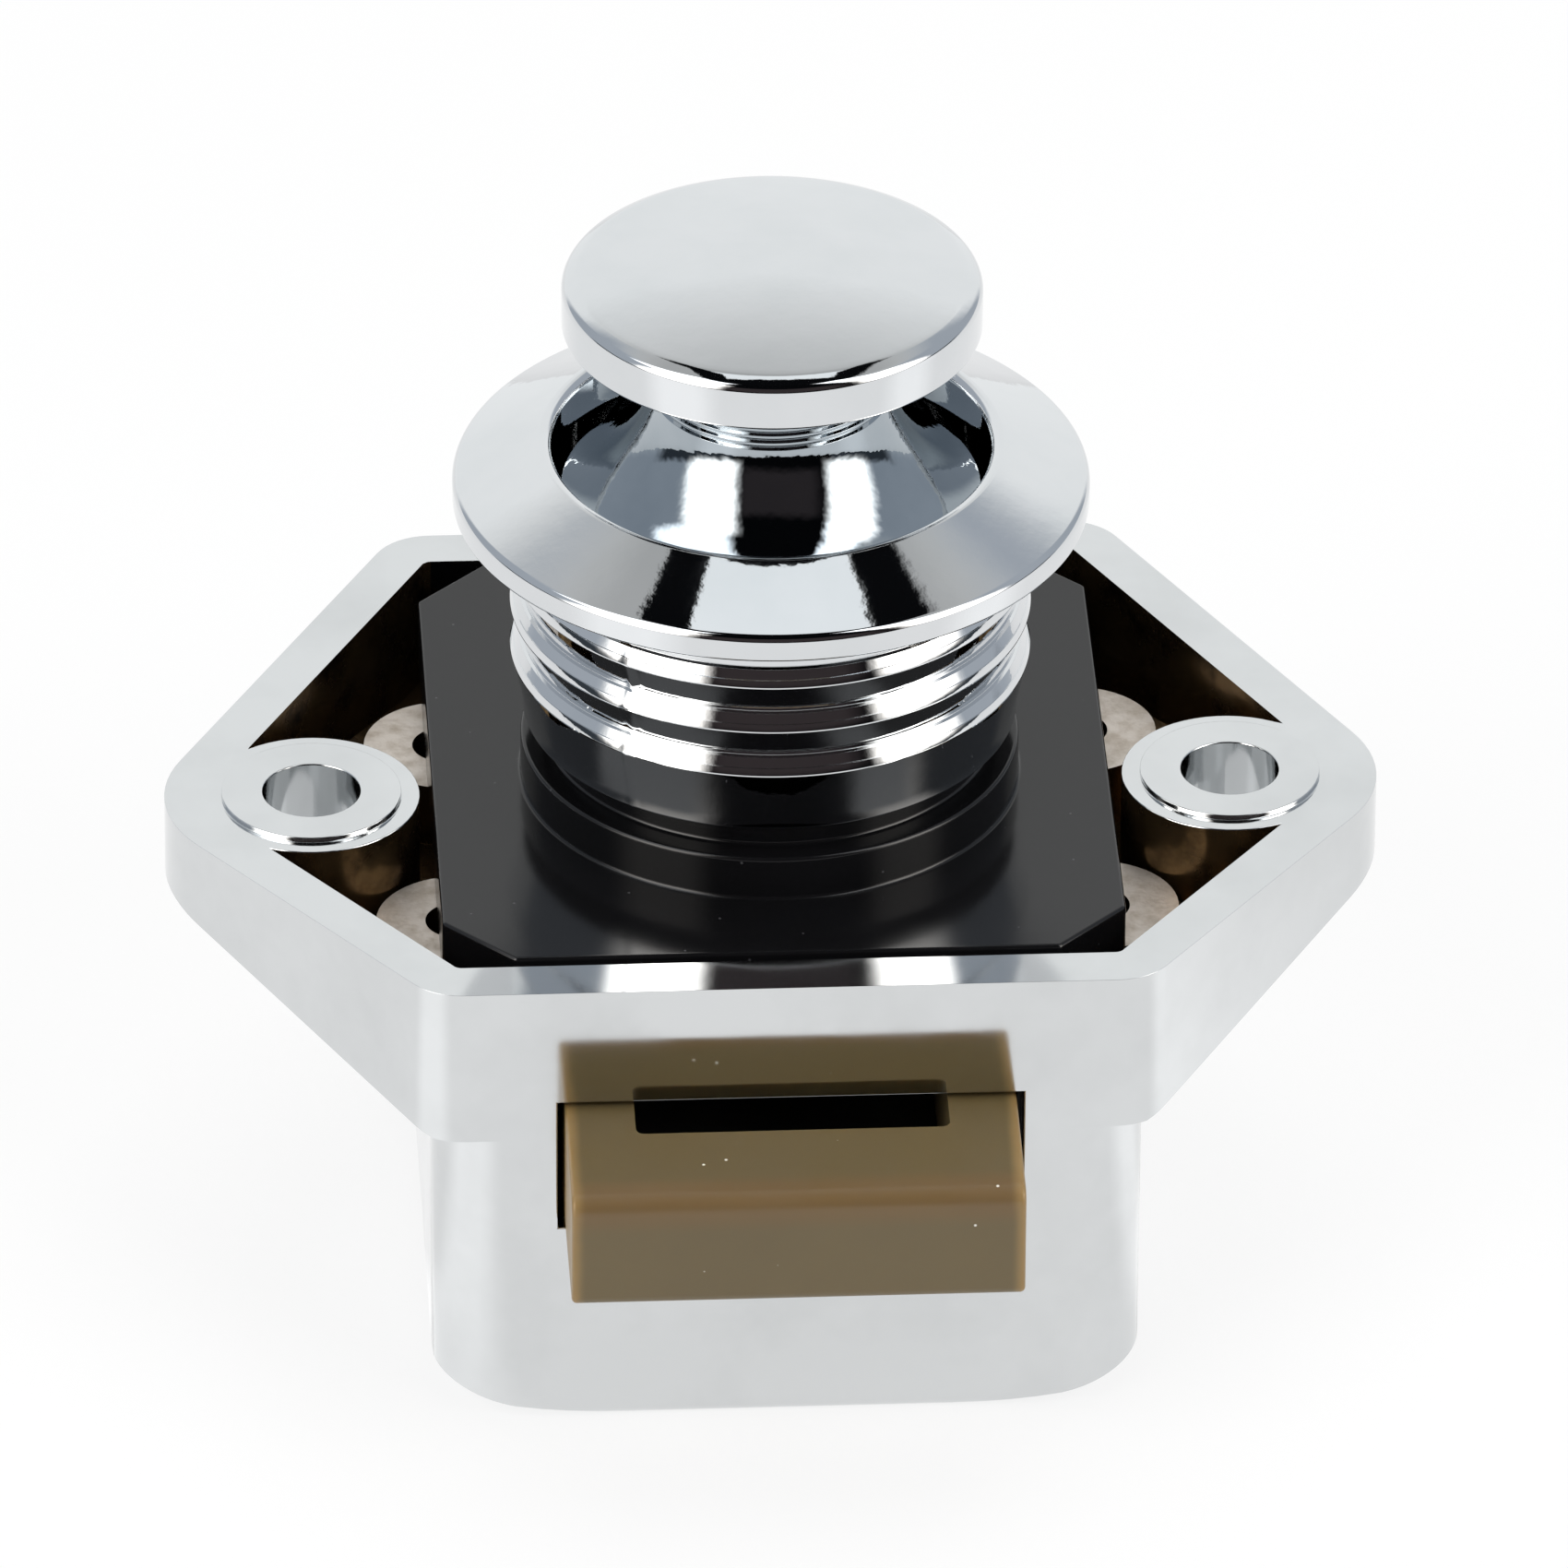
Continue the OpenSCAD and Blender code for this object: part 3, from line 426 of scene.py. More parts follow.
def rounded(corners: list, step_deg: float = 9.0) -> list:
    """Rounds the corners of an outline.

    Args:
        corners: Points of the outline, each with its two coordinates and the radius of its corner.
        step_deg: Greatest turn between two points of an arc.

    Returns:
        The points of the rounded outline, closed from the last to the first.
    """
    outline = []
    for i, (x, y, radius) in enumerate(corners):
        here = Vector((x, y))
        if radius <= 0:
            outline.append(here)
            continue
        before = Vector(corners[i - 1][:2]) - here
        after = Vector(corners[(i + 1) % len(corners)][:2]) - here
        half = before.angle(after) / 2
        centre = here + (before.normalized() + after.normalized()).normalized() * radius / math.sin(half)
        start = here + before.normalized() * radius / math.tan(half) - centre
        end = here + after.normalized() * radius / math.tan(half) - centre
        turn = start.angle_signed(end)
        count = max(2, math.ceil(math.degrees(abs(turn)) / step_deg))
        outline += [centre + Matrix.Rotation(-turn * k / count, 2) @ start for k in range(count + 1)]
    return outline


def lathe(outline: list, steps: int) -> bmesh.types.BMesh:
    """Turns an outline of radius and height round the Z axis.

    Args:
        outline: Closed outline, each point a radius and a height in millimetres.
        steps: Number of steps of a full turn.

    Returns:
        The turned solid in metres.
    """
    bm = bmesh.new()
    verts = [bm.verts.new((p[0] * MM, 0, p[1] * MM)) for p in outline]
    edges = [bm.edges.new((verts[i - 1], v)) for i, v in enumerate(verts)]
    bmesh.ops.spin(bm, geom=verts + edges, cent=(0, 0, 0), axis=(0, 0, 1), angle=math.tau, steps=steps,
                   use_merge=True, use_duplicate=False)
    bmesh.ops.remove_doubles(bm, verts=bm.verts, dist=TURNED_WELD * MM)
    bmesh.ops.recalc_face_normals(bm, faces=bm.faces)
    return bm


def node_solid(name: str) -> bmesh.types.BMesh:
    """Copies a node of the frame as a closed solid with flat faces in one piece.

    Args:
        name: Name of the node.

    Returns:
        The copy in metres.
    """
    bm = bmesh.new()
    bm.from_mesh(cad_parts[name].data)
    bmesh.ops.remove_doubles(bm, verts=bm.verts, dist=NODE_WELD * MM)
    bmesh.ops.dissolve_limit(bm, angle_limit=math.radians(FLAT_DEG), verts=bm.verts, edges=bm.edges,
                             use_dissolve_boundaries=False)
    return bm


def break_edges(bm: bmesh.types.BMesh, width_mm: float, where: Callable = None, angle_deg: float = 25,
                segments: int = 3) -> None:
    """Rounds the edges that are sharper than an angle.

    Args:
        bm: Solid in metres.
        width_mm: Width of the rounding.
        where: Tells for both ends of an edge, in millimetres, whether the edge is rounded.
        angle_deg: Least angle between the faces of an edge that is rounded.
        segments: Number of steps across the rounding.
    """
    sharp = [e for e in bm.edges if e.is_manifold and e.calc_face_angle() > math.radians(angle_deg)]
    if where:
        sharp = [e for e in sharp if all(where(v.co / MM) for v in e.verts)]
    bmesh.ops.bevel(bm, geom=sharp, offset=width_mm * MM, offset_type="OFFSET", affect="EDGES",
                    segments=segments, profile=0.5, material=-1, clamp_overlap=True)


def piece(name: str, bm: bmesh.types.BMesh, body: Body, materials: list,
          stands_for: tuple = (), smooth_deg: float = 40) -> bpy.types.Object:
    """Makes a finished piece from a solid.

    Args:
        name: Name of the piece.
        bm: The solid, which is freed.
        body: Body that the piece rides on.
        materials: Materials, in the order of the faces' material numbers.
        stands_for: Nodes of the frame that it replaces.
        smooth_deg: Edges sharper than this stay sharp in the shading.

    Returns:
        The piece.
    """
    for face in bm.faces:
        face.smooth = True
    for edge in bm.edges:
        edge.smooth = not edge.is_manifold or edge.calc_face_angle() < math.radians(smooth_deg)
    mesh = bpy.data.meshes.new(name)
    bm.to_mesh(mesh)
    bm.free()
    made = bpy.data.objects.new(name, mesh)
    bpy.context.scene.collection.objects.link(made)
    for material in materials:
        mesh.materials.append(material)
    weights = made.modifiers.new("even_shading", "WEIGHTED_NORMAL")
    weights.keep_sharp = True
    weights.weight = 100
    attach(made, body.value)
    if stands_for:
        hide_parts(*stands_for)
    log.info("%s: %d faces", name, len(mesh.polygons))
    return made


@dataclass
class Camera:
    """Camera at the place from which the photograph was taken."""

    place: tuple = (-49.30, -857.19, 535.96)
    yaw: float = 0.0583
    pitch: float = 0.5589
    roll: float = 0.0067
    focal_px: float = 22391
    frame_px: float = 1700
    sensor: float = 36.0

    def build(self) -> None:
        """Makes the camera and gives it to the scene."""
        forward = Vector((math.sin(self.yaw) * math.cos(self.pitch),
                          math.cos(self.yaw) * math.cos(self.pitch), -math.sin(self.pitch)))
        level = Vector((math.cos(self.yaw), -math.sin(self.yaw), 0))
        above = level.cross(forward)
        right = math.cos(self.roll) * level + math.sin(self.roll) * above
        up = -math.sin(self.roll) * level + math.cos(self.roll) * above
        data = bpy.data.cameras.new("camera")
        data.sensor_width = self.sensor
        data.lens = self.focal_px / self.frame_px * self.sensor
        data.clip_start = 0.01
        data.clip_end = 20
        made = bpy.data.objects.new("camera", data)
        turn = Matrix((right, up, -forward)).transposed().to_4x4()
        made.matrix_world = Matrix.Translation(Vector(self.place) * MM) @ turn
        bpy.context.scene.collection.objects.link(made)
        bpy.context.scene.camera = made


def band(tree: bpy.types.NodeTree, value: bpy.types.NodeSocket, low: float, high: float,
         soft: float) -> bpy.types.NodeSocket:
    """Makes a mask that is 1 between two limits and 0 outside them.

    Args:
        tree: Tree that the mask is added to.
        value: Socket with the value that is compared.
        low: Lower limit.
        high: Upper limit.
        soft: Width over which each end fades.

    Returns:
        The mask.
    """
    up = node(tree, "ShaderNodeMapRange",
              {"Value": value, "From Min": low - soft / 2, "From Max": low + soft / 2},
              interpolation_type="SMOOTHSTEP")
    down = node(tree, "ShaderNodeMapRange",
                {"Value": value, "From Min": high + soft / 2, "From Max": high - soft / 2},
                interpolation_type="SMOOTHSTEP")
    inside = node(tree, "ShaderNodeMath", {0: up.outputs[0], 1: down.outputs[0]}, operation="MULTIPLY")
    return inside.outputs[0]


@dataclass(frozen=True)
class Patch:
    """Part of the room that the chrome mirrors, laid over the parts before it.

    Each limit is a lowest value, a highest value and the width of the soft ends. Turn is the angle to
    the right of straight ahead, around the same without its sign and rise the angle above the horizon,
    all in degrees. East and north are the parts of the direction along X and Y.
    """

    code: str
    strength: float = 1.0
    turn: tuple = None
    around: tuple = None
    rise: tuple = None
    east: tuple = None
    north: tuple = None


# Each patch covers the ones before it
ROOM = (
    # Light grey sides
    Patch("#b3bac3", around=(78, 140, 12), rise=(-4, 52, 14)),
    # Dark ceiling on both sides of the bright panel and in front of it
    Patch("#0b0c0e", rise=(58, 100, 6), east=(-0.27, -0.165, 0.012)),
    Patch("#0b0c0e", rise=(58, 100, 6), east=(0.235, 0.36, 0.03)),
    Patch("#0b0c0e", rise=(58, 100, 6), east=(-0.27, 0.36, 0.03), north=(-0.5, 0.11, 0.02)),
    # Bright panel overhead
    Patch("#f6fafc", 1.16, rise=(58, 100, 6), east=(-0.165, 0.235, 0.012), north=(0.115, 0.30, 0.02)),
    # Dim far wall along the horizon
    Patch("#3c4248", rise=(-3, 5, 4), north=(-2, 0.3, 0.2)),
    # Dark opening straight ahead, with a dim middle
    Patch("#090a0c", turn=(-37, 50, 6), rise=(-8, 78, 4)),
    Patch("#3a3435", turn=(-30, 36, 16), rise=(8, 40, 8)),
    # Soft boxes to the left and right
    Patch("#fffaf4", 6.0, turn=(-72, -35, 18), rise=(4, 52, 8)),
    Patch("#fffaf4", 6.0, turn=(48, 80, 18), rise=(4, 52, 8)),
    # Bright walls above the soft boxes
    Patch("#fbfdff", 3.0, turn=(-100, -42, 10), rise=(44, 72, 6)),
    Patch("#fbfdff", 3.0, turn=(44, 75, 10), rise=(44, 72, 6)),
)


@dataclass(frozen=True)
class Lamp:
    """Square lamp that lights the matt faces and is hidden from mirrors.

    It faces the origin. Its spot and its side are in metres, and its power is in watts.
    """

    name: str
    spot: tuple
    power: float
    side: float


LAMPS = (
    Lamp("key", (-0.9, -0.8, 1.1), 7.5, 0.7),
    Lamp("fill", (0.9, -0.7, 0.9), 6.0, 0.7),
    Lamp("top", (0.1, 0.3, 1.4), 6.0, 0.9),
)


@dataclass
class Studio:
    """White table, soft lamps and the room that the chrome mirrors."""

    table_r: float = 3000
    table_steps: int = 96
    table_gap: float = 0.02
    table_glow: float = 0.8
    # Painted pools of light: turns at which mirrors see the table brighter
    light_pool_gain: float = 0.25
    light_pools: tuple = ((-68, -36), (62, 86))
    light_pool_soft: float = 18
    wall_heights: tuple = (0.56, 0.9)
    wall_levels: tuple = (1.05, 0.51)
    wall_red: float = 0.985
    plain_level: float = 0.5

    def build(self) -> None:
        """Makes the table, the lamps and the world."""
        self.table()
        self.world()
        self.lamps()

    def table(self) -> None:
        """Makes the white table under the lock."""
        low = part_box("lock_case")[0].z
        bm = bmesh.new()
        bmesh.ops.create_circle(bm, cap_ends=True, radius=self.table_r * MM, segments=self.table_steps,
                                matrix=Matrix.Translation((0, 0, low - self.table_gap * MM)))
        mesh = bpy.data.meshes.new("table")
        bm.to_mesh(mesh)
        bm.free()
        made = bpy.data.objects.new("table", mesh)
        bpy.context.scene.collection.objects.link(made)
        mesh.materials.append(self.table_finish())

    def table_finish(self) -> bpy.types.Material:
        """Makes the table's finish: white to the camera, matt to the light, with painted pools of light
        that only mirrors see.

        Returns:
            The material.
        """
        material, tree, place = blank_material("white_table")
        seen = node(tree, "ShaderNodeLightPath")
        camera, glossy = seen.outputs["Is Camera Ray"], seen.outputs["Is Glossy Ray"]
        either = node(tree, "ShaderNodeMath", {0: camera, 1: glossy}, operation="MAXIMUM")
        share = node(tree, "ShaderNodeMath", {0: either.outputs[0], 1: self.table_glow},
                     operation="MULTIPLY")
        clouds = node(tree, "ShaderNodeTexNoise", {"Vector": place, "Scale": 6.0, "Detail": 2})
        tone = node(tree, "ShaderNodeMix",
                    {"Factor": clouds.outputs["Fac"], "A": linear("#f2f3f3"), "B": linear("#fafafa")},
                    data_type="RGBA")
        matt = node(tree, "ShaderNodeBsdfDiffuse", {"Color": tone.outputs["Result"]})
        parts = node(tree, "ShaderNodeSeparateXYZ", {0: place})
        ahead = node(tree, "ShaderNodeMath", {0: parts.outputs[1], 1: -1.0}, operation="MULTIPLY")
        turn = node(tree, "ShaderNodeMath", {0: parts.outputs[0], 1: ahead.outputs[0]}, operation="ARCTAN2")
        deg = math.radians
        # Painted pools of light, shown only to mirrors
        left, right = [band(tree, turn.outputs[0], deg(low), deg(high), deg(self.light_pool_soft))
                       for low, high in self.light_pools]
        light_pool = node(tree, "ShaderNodeMath", {0: left, 1: right}, operation="ADD")
        shown = node(tree, "ShaderNodeMath", {0: light_pool.outputs[0], 1: glossy}, operation="MULTIPLY")
        level = node(tree, "ShaderNodeMath", {0: shown.outputs[0], 1: self.light_pool_gain, 2: 1.0},
                     operation="MULTIPLY_ADD")
        glow = node(tree, "ShaderNodeEmission", {"Color": linear("#ffffff"), "Strength": level.outputs[0]})
        mixed = node(tree, "ShaderNodeMixShader",
                     {0: share.outputs[0], 1: matt.outputs[0], 2: glow.outputs[0]})
        node(tree, "ShaderNodeOutputMaterial", {"Surface": mixed.outputs[0]})
        return material

    def world(self) -> None:
        """Makes the world: white to the camera, plain to matt faces, a studio room to mirrors."""
        made = bpy.data.worlds.new("studio")
        made.use_nodes = True
        tree = made.node_tree
        tree.nodes.clear()
        way = node(tree, "ShaderNodeTexCoord").outputs["Generated"]
        east, north, height = node(tree, "ShaderNodeSeparateXYZ", {0: way}).outputs
        ahead = node(tree, "ShaderNodeMath", {0: north, 1: -1.0}, operation="MULTIPLY")
        turn = node(tree, "ShaderNodeMath", {0: east, 1: ahead.outputs[0]}, operation="ARCTAN2")
        turned = node(tree, "ShaderNodeMath", {0: turn.outputs[0]}, operation="DEGREES")
        around = node(tree, "ShaderNodeMath", {0: turned.outputs[0]}, operation="ABSOLUTE")
        rise = node(tree, "ShaderNodeMath", {0: height}, operation="ARCSINE")
        risen = node(tree, "ShaderNodeMath", {0: rise.outputs[0]}, operation="DEGREES")
        measures = {"turn": turned.outputs[0], "around": around.outputs[0], "rise": risen.outputs[0],
                    "east": east, "north": north}
        wall = node(tree, "ShaderNodeMapRange",
                    {"Value": height, "From Min": self.wall_heights[0], "From Max": self.wall_heights[1],
                     "To Min": self.wall_levels[0], "To Max": self.wall_levels[1]})
        red = node(tree, "ShaderNodeMath", {0: wall.outputs[0], 1: self.wall_red}, operation="MULTIPLY")
        room = node(tree, "ShaderNodeCombineColor",
                    {0: red.outputs[0], 1: wall.outputs[0], 2: wall.outputs[0]}).outputs[0]
        for patch in ROOM:
            mask = None
            for name, value in measures.items():
                limits = getattr(patch, name)
                if limits is None:
                    continue
                part = band(tree, value, *limits)
                mask = part if mask is None else node(tree, "ShaderNodeMath", {0: mask, 1: part},
                                                      operation="MULTIPLY").outputs[0]
            light = (*[c * patch.strength for c in linear(patch.code)[:3]], 1.0)
            room = node(tree, "ShaderNodeMix", {"Factor": mask, "A": room, "B": light},
                        data_type="RGBA").outputs["Result"]
        seen = node(tree, "ShaderNodeLightPath")
        plain = node(tree, "ShaderNodeBackground",
                     {"Color": linear("#ffffff"), "Strength": self.plain_level})
        studio = node(tree, "ShaderNodeBackground", {"Color": room, "Strength": 1.0})
        white = node(tree, "ShaderNodeBackground", {"Color": linear("#ffffff"), "Strength": 1.0})
        mirrored = node(tree, "ShaderNodeMixShader",
                        {0: seen.outputs["Is Glossy Ray"], 1: plain.outputs[0], 2: studio.outputs[0]})
        whole = node(tree, "ShaderNodeMixShader",
                     {0: seen.outputs["Is Camera Ray"], 1: mirrored.outputs[0], 2: white.outputs[0]})
        node(tree, "ShaderNodeOutputWorld", {"Surface": whole.outputs[0]})
        bpy.context.scene.world = made

    def lamps(self) -> None:
        """Makes the soft lamps that light the matt faces."""
        for lamp in LAMPS:
            data = bpy.data.lights.new(lamp.name, "AREA")
            data.shape = "SQUARE"
            data.size = lamp.side
            data.energy = lamp.power
            made = bpy.data.objects.new(lamp.name, data)
            made.location = lamp.spot
            made.rotation_euler = Vector(lamp.spot).to_track_quat("Z", "Y").to_euler()
            made.visible_glossy = False
            bpy.context.scene.collection.objects.link(made)


@dataclass
class Case:
    """Die-cast case with its black cover plate, and the moulded guide inside it."""

    rim_round: float = 0.25
    opening_round: float = 0.08
    ring_round: float = 0.07
    ring_r: float = 5.5
    rim_low: float = -0.4
    opening_x: float = 11.6
    opening_y: float = -17
    opening_z: tuple = (-14, -6)
    plate_round: float = 0.22
    post_top: float = -3.35
    post_reach: float = 0.35
    hole_x: float = 22.5
    hole_y: float = -1.6
    hole_r: float = 2.6
    look_from: float = 0.05

    def build(self) -> None:
        """Makes and dresses the case, the plate and the guide."""
        self.casting()
        self.plate()
        dress("bolt_guide", GUIDE_BLACK.build())

    def casting(self) -> None:
        """Makes the case, with painted shade over thin plating in the pockets and paler tops on the corner
        posts.
        """
        bm = node_solid("lock_case")
        break_edges(bm, self.opening_round, self.at_opening)
        break_edges(bm, self.ring_round, self.at_ring)
        break_edges(bm, self.rim_round, lambda p: not self.at_opening(p) and not self.at_ring(p))
        tree = BVHTree.FromBMesh(bm)
        for face in bm.faces:
            face.material_index = self.region(face, tree)
        piece("case_casting", bm, Body.CASE,
              [CASE_CHROME.build(), SHADED_POCKET_CHROME.build(), POST_CHROME.build()], ("lock_case",))

    def at_opening(self, p: Vector) -> bool:
        """Tells whether a point lies on the edges of the bolt's opening.

        Args:
            p: The point in millimetres.

        Returns:
            True on those edges.
        """
        low, high = self.opening_z
        return abs(p.x) < self.opening_x and p.y < self.opening_y and low < p.z < high

    def at_ring(self, p: Vector) -> bool:
        """Tells whether a point lies on the raised ring of a screw hole.

        Args:
            p: The point in millimetres.

        Returns:
            True on either ring.
        """
        away = math.hypot(abs(p.x) - self.hole_x, p.y - self.hole_y)
        return away < self.ring_r and p.z > self.rim_low

    def region(self, face: bmesh.types.BMFace, tree: BVHTree) -> int:
        """Tells which finish a face of the case has.

        Args:
            face: The face.
            tree: The whole case, for looking out from the face.

        Returns:
            0 for bright chrome, 1 for the pockets and the inside, whose finish paints shade, 2 for the tops
            of the posts.
        """
        middle = face.calc_center_median() / MM
        if middle.z > self.rim_low:
            return 0
        if abs(middle.z - self.post_top) < self.post_reach and face.normal.z > 0.5:
            return 2
        if math.hypot(abs(middle.x) - self.hole_x, middle.y - self.hole_y) < self.hole_r:
            return 0
        # A face hemmed in by the case on all four sides lies in a recess, and gets the pocket finish with
        # its painted shade
        start = (middle + face.normal * self.look_from) * MM
        for way in ((1, 0, 0), (-1, 0, 0), (0, 1, 0), (0, -1, 0)):
            if tree.ray_cast(start, Vector(way))[0] is None:
                return 0
        return 1

    def plate(self) -> None:
        """Makes the glossy black cover plate with its collar."""
        bm = node_solid("cover_plate")
        break_edges(bm, self.plate_round)
        piece("cover_moulding", bm, Body.CASE, [PLATE_BLACK.build()], ("cover_plate",))


def dress(name: str, material: bpy.types.Material) -> None:
    """Gives a node of the frame its finish.

    Args:
        name: Name of the node.
        material: The finish.
    """
    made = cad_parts[name]
    made.data.materials.clear()
    made.data.materials.append(material)
    log.info("%s: dressed", name)


@dataclass
class Rosette:
    """Turned look of the rosette: a flat cone with a sleeve under it that has three ribs."""

    steps: int = 288
    bore: float = 10.7
    thread: float = 11.05
    sleeve: float = 12.1
    crest: float = 12.7
    bottom: float = 3.9
    thread_top: float = 7.1
    flange: float = 15.5
    outer: float = 15.5
    edge_top: float = 16.8
    top: float = 19.0
    edge_round: float = 0.5
    rim_round: float = 0.45
    rib_lows: tuple = (7.25, 9.75, 12.25)
    rib_lip: float = 0.05
    rib_edge: float = 0.02
    rib_land: float = 0.09
    rib_faces: tuple = ((0.13, 0.42), (0.18, 0.43), (0.42, 0.87))
    rib_height: float = 0.93
    cone_low: float = 4.6
    parting_deg: float = -126
    parting_out: float = 0.05
    parting_top: float = 15.4
    parting_from: float = 11.5
    parting_wave: float = 9.0
    parting_ragged: float = 0.6

    def rib(self, low: float) -> list:
        """Gives the corners of a barb: a sharp lip, a thin land, two leaning faces and a small ledge.

        Args:
            low: Height of its lip.

        Returns:
            Its corners from below to above.
        """
        faces = [(self.crest - inwards, low + up, 0.012) for inwards, up in self.rib_faces]
        return [(self.crest - self.rib_lip, low, 0.02), (self.crest, low + self.rib_edge, 0.015),
                (self.crest, low + self.rib_land, 0.02), *faces, (self.sleeve, low + self.rib_height, 0.03)]

    def build(self, chrome: bpy.types.Material) -> None:
        """Turns the rosette.

        Args:
            chrome: Its finish.
        """
        corners = [(self.bore, self.thread_top, 0), (self.thread, self.thread_top, 0),
                   (self.thread, self.bottom, 0.1), (self.sleeve, self.bottom, 0.15),
                   (self.sleeve, self.cone_low, 0)]
        for low in self.rib_lows:
            corners += self.rib(low)
        corners += [(self.sleeve, self.flange, 0.12), (self.outer, self.flange, 0.2),
                    (self.outer, self.edge_top, self.edge_round), (self.bore, self.top, self.rim_round)]
        bm = lathe(rounded(corners), self.steps)
        self.parting_line(bm)
        piece("rosette_turned", bm, Body.CASE, [chrome], ("rosette",))

    def parting_line(self, bm: bmesh.types.BMesh) -> None:
        """Raises the thin ridge that the two halves of the mould leave down the sleeve.

        Args:
            bm: The turned rosette.
        """
        for vert in bm.verts:
            away = math.hypot(vert.co.x, vert.co.y)
            turn = math.degrees(math.atan2(vert.co.y, vert.co.x))
            if abs(turn - self.parting_deg) < 180 / self.steps and vert.co.z < self.parting_top * MM \
                    and away > self.parting_from * MM:
                ragged = 1 + self.parting_ragged * math.sin(self.parting_wave * vert.co.z / MM)
                vert.co.xy *= 1 + self.parting_out * ragged * MM / away


@dataclass
class Knob:
    """Cap and bell of the knob, with the stud and the cam slide under them."""

    steps: int = 256
    radius: float = 10.2
    cap_bottom: float = 25.3
    dome_top: float = 28.9
    dome_r: float = 47.84
    shoulder_r: float = 9.45
    shoulder_slope: float = 27
    shoulder_round: float = 0.9
    edge_round: float = 0.58
    skirt_round: float = 0.2
    waist: float = 5.6
    groove: float = 0.12
    groove_pitch: float = 0.36
    groove_half: float = 0.12
    groove_first: float = 0.6
    groove_round: float = 0.03
    groove_count: int = 8
    flank_gap: float = 0.1
    dome_steps: int = 24
    flank_steps: int = 48
    neck_low: float = 23.3
    spigot: float = 5.2
    bell_top: float = 24.4
    flank_low: float = 16.1
    skirt: float = 15.9
    hollow_r: float = 6.4
    roof: float = 17.7
    socket: float = 21.1
    shaft: float = 3.62
    bore: float = 1.52
    hollow_out: float = 9.2
    hollow_in: float = 5.6
    hollow_top: float = 26.5
    stud_end: float = 26.7

    def build(self, chrome: bpy.types.Material) -> None:
        """Makes the cap and the bell.

        Args:
            chrome: Finish of the cap.
        """
        self.cap(chrome)
        # The bell's bluer, darker chrome is painted shade
        self.bell(SHADED_BELL_CHROME.build())
        dress("knob_stud", ZINC_STEEL.build())
        dress("cam_slide", CAM_BLACK.build())

    def dome(self, radius: float) -> float:
        """Gives the height of the dome at a radius.

        Args:
            radius: Radius in millimetres.

        Returns:
            The height there.
        """
        return self.dome_top - self.dome_r + math.sqrt(self.dome_r ** 2 - radius ** 2)

    def cap(self, chrome: bpy.types.Material) -> None:
        """Turns the domed cap.

        Args:
            chrome: Its finish.
        """
        drop = (self.radius - self.shoulder_r) * math.tan(math.radians(self.shoulder_slope))
        rings = [self.shoulder_r * k / self.dome_steps for k in range(self.dome_steps)]
        crown = [(radius, self.dome(radius), 0) for radius in rings]
        corners = crown + [
            (self.shoulder_r, self.dome(self.shoulder_r), self.shoulder_round),
            (self.radius, self.dome(self.shoulder_r) - drop, self.edge_round),
            (self.radius, self.cap_bottom, self.skirt_round),
            (self.hollow_out, self.cap_bottom, self.skirt_round),
            (self.hollow_out, self.hollow_top, self.skirt_round),
            (self.hollow_in, self.hollow_top, self.skirt_round),
            (self.hollow_in, self.cap_bottom, 0.12), (self.spigot, self.cap_bottom, 0.05),
            (self.spigot, self.bell_top, 0), (self.bore, self.bell_top, 0),
            (self.bore, self.stud_end, 0), (0, self.stud_end, 0)]
        bm = lathe(rounded(corners), self.steps)
        piece("cap_turned", bm, Body.KNOB, [chrome], ("knob_cap",))

    def bell_radius(self, height: float) -> float:
        """Gives the bell's radius at a height: a straight neck that runs out in a round arc.

        Args:
            height: Height in millimetres.

        Returns:
            The radius there.
        """
        out, drop = self.radius - self.waist, self.neck_low - self.flank_low
        arc_r = (out ** 2 + drop ** 2) / (2 * out)
        below = max(self.neck_low - height, 0)
        return self.waist + arc_r - math.sqrt(arc_r ** 2 - below ** 2)

    def bell(self, chrome: bpy.types.Material) -> None:
        """Turns the bell-shaped shank, with fine rings round its neck.

        Args:
            chrome: Its finish.
        """
        neck = []
        for k in range(self.groove_count):
            middle = self.bell_top - self.groove_pitch * (k + self.groove_first)
            over, under = middle + self.groove_half, middle - self.groove_half
            neck += [(self.bell_radius(over), over, self.groove_round),
                     (self.bell_radius(middle) - self.groove, middle, self.groove_round),
                     (self.bell_radius(under), under, self.groove_round)]
        start = neck[-1][1] - self.flank_gap
        heights = [start + (self.flank_low - start) * k / self.flank_steps for k in range(self.flank_steps)]
        flank = [(self.bell_radius(height), height, 0) for height in heights]
        corners = [(self.bore, self.bell_top, 0), (self.waist, self.bell_top, 0.06)] + neck + flank + [
            (self.radius, self.flank_low, 0.03), (self.radius, self.skirt, 0.05),
            (self.hollow_r, self.skirt, 0.15), (self.hollow_r, self.roof, 0.2),
            (self.shaft, self.roof, 0.05), (self.shaft, self.socket, 0), (self.bore, self.socket, 0)]
        bm = lathe(rounded(corners), self.steps)
        piece("bell_turned", bm, Body.KNOB, [chrome], ("knob_bell",))


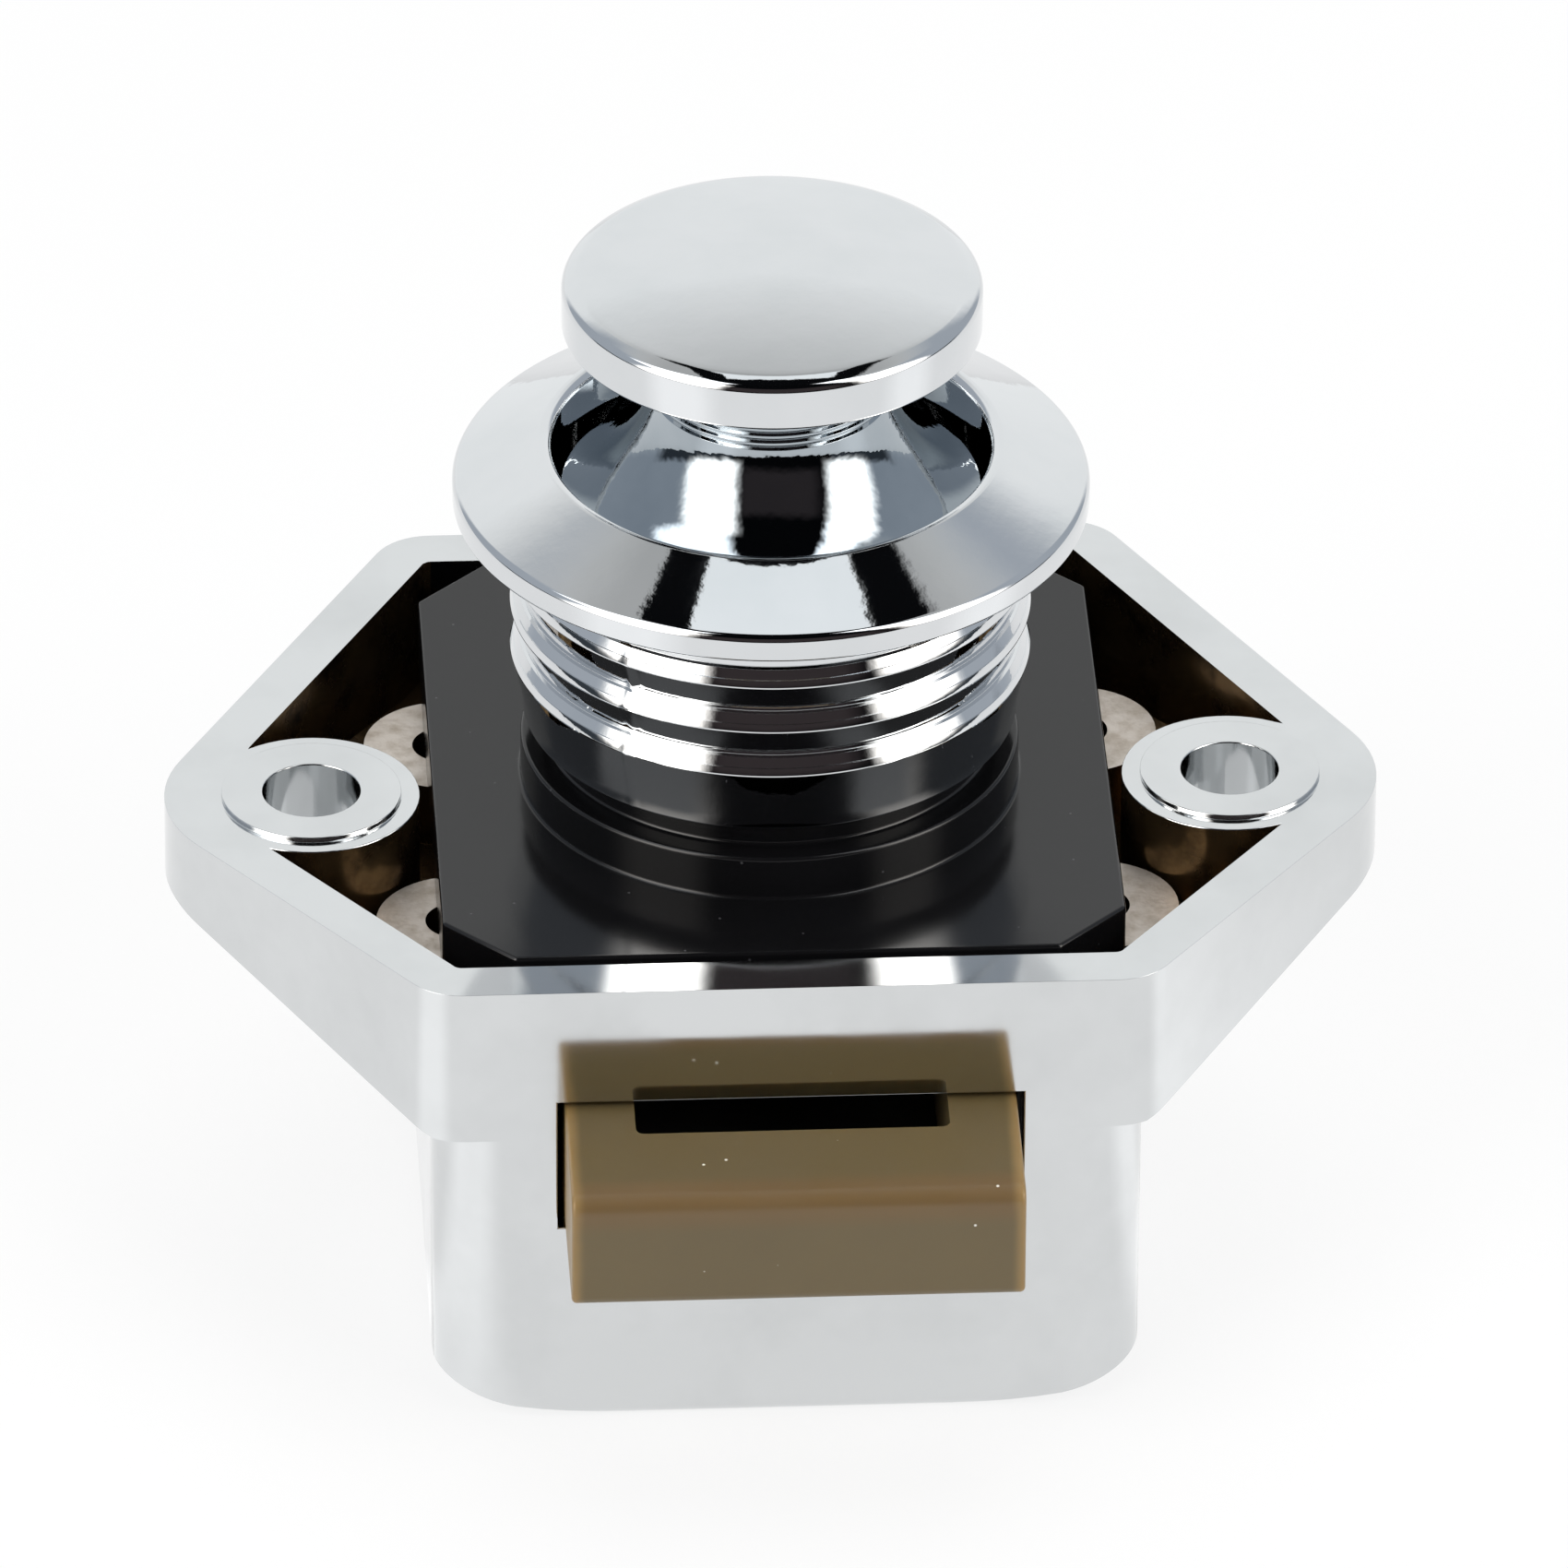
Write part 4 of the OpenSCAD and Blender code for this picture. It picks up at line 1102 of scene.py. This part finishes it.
@dataclass
class Bolt:
    """Moulded bolt with its window, and the ground pin across it."""

    edge_round: float = 0.3
    window_round: float = 0.04
    side: float = 10.8
    window_inset: float = 1.0
    pin_y: float = -5.0
    pin_z: float = -9.9
    pin_reach: float = 2.0

    def build(self) -> None:
        """Makes the bolt and dresses its pin."""
        bm = node_solid("bolt")
        break_edges(bm, self.edge_round, lambda p: abs(p.x) > self.side and not self.at_pin(p))
        break_edges(bm, self.window_round, lambda p: abs(p.x) < self.side - self.window_inset)
        piece("bolt_moulding", bm, Body.BOLT, [BoltNylon().build()], ("bolt",))
        dress("cam_pin", GROUND_STEEL.build())

    def at_pin(self, p: Vector) -> bool:
        """Tells whether a point lies on the edge of the hole for the pin.

        Args:
            p: The point in millimetres.

        Returns:
            True near the pin.
        """
        return math.hypot(p.y - self.pin_y, p.z - self.pin_z) < self.pin_reach


@dataclass
class ReturnSpring:
    """Coil of spring wire that pushes the knob out."""

    radius: float = 5.5
    wire: float = 0.35
    turns: float = 6
    seat: float = 3.92
    washer: float = 0.5
    roof: float = 17.7
    steps_per_turn: int = 40
    wire_sides: int = 12
    gap: float = 0.02
    keep: float = 0.36

    def build(self) -> None:
        """Winds the coil."""
        low = self.seat + self.washer + self.wire + self.gap
        high = self.roof - self.wire - self.gap
        bm = bmesh.new()
        ring = bmesh.ops.create_circle(bm, cap_ends=False, radius=self.wire * MM, segments=self.wire_sides,
                                       matrix=Matrix.Translation((self.radius * MM, 0, low * MM))
                                       @ Matrix.Rotation(math.pi / 2, 4, "X"))
        start = [e for v in ring["verts"] for e in v.link_edges]
        steps = int(self.turns * self.steps_per_turn)
        bmesh.ops.spin(bm, geom=list(dict.fromkeys(ring["verts"] + start)), cent=(0, 0, 0), axis=(0, 0, 1),
                       dvec=(0, 0, (high - low) / steps * MM), angle=math.tau * self.turns, steps=steps)
        ends = [e for e in bm.edges if e.is_boundary]
        bmesh.ops.holes_fill(bm, edges=ends, sides=self.wire_sides)
        bmesh.ops.recalc_face_normals(bm, faces=bm.faces)
        coil = piece("spring_coil", bm, Body.CASE, [SPRING_STEEL.build()], ("return_spring",))
        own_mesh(coil)


def main() -> None:
    """Builds the whole scene."""
    logging.basicConfig(level=logging.INFO, format="%(name)s %(message)s")
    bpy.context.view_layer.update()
    bpy.context.scene.view_settings.view_transform = "Standard"
    Camera().build()
    Studio().build()
    chrome = TRIM_CHROME.build()
    Case().build()
    Rosette().build(chrome)
    Knob().build(chrome)
    Bolt().build()
    ReturnSpring().build()
    zinc = ZINC_STEEL.build()
    spring = SPRING_STEEL.build()
    dress("spring_washer", zinc)
    dress("leaf_screw", zinc)
    dress("leaf_spring", spring)
    dress("latch_wire", spring)


if __name__ == "__main__":
    main()
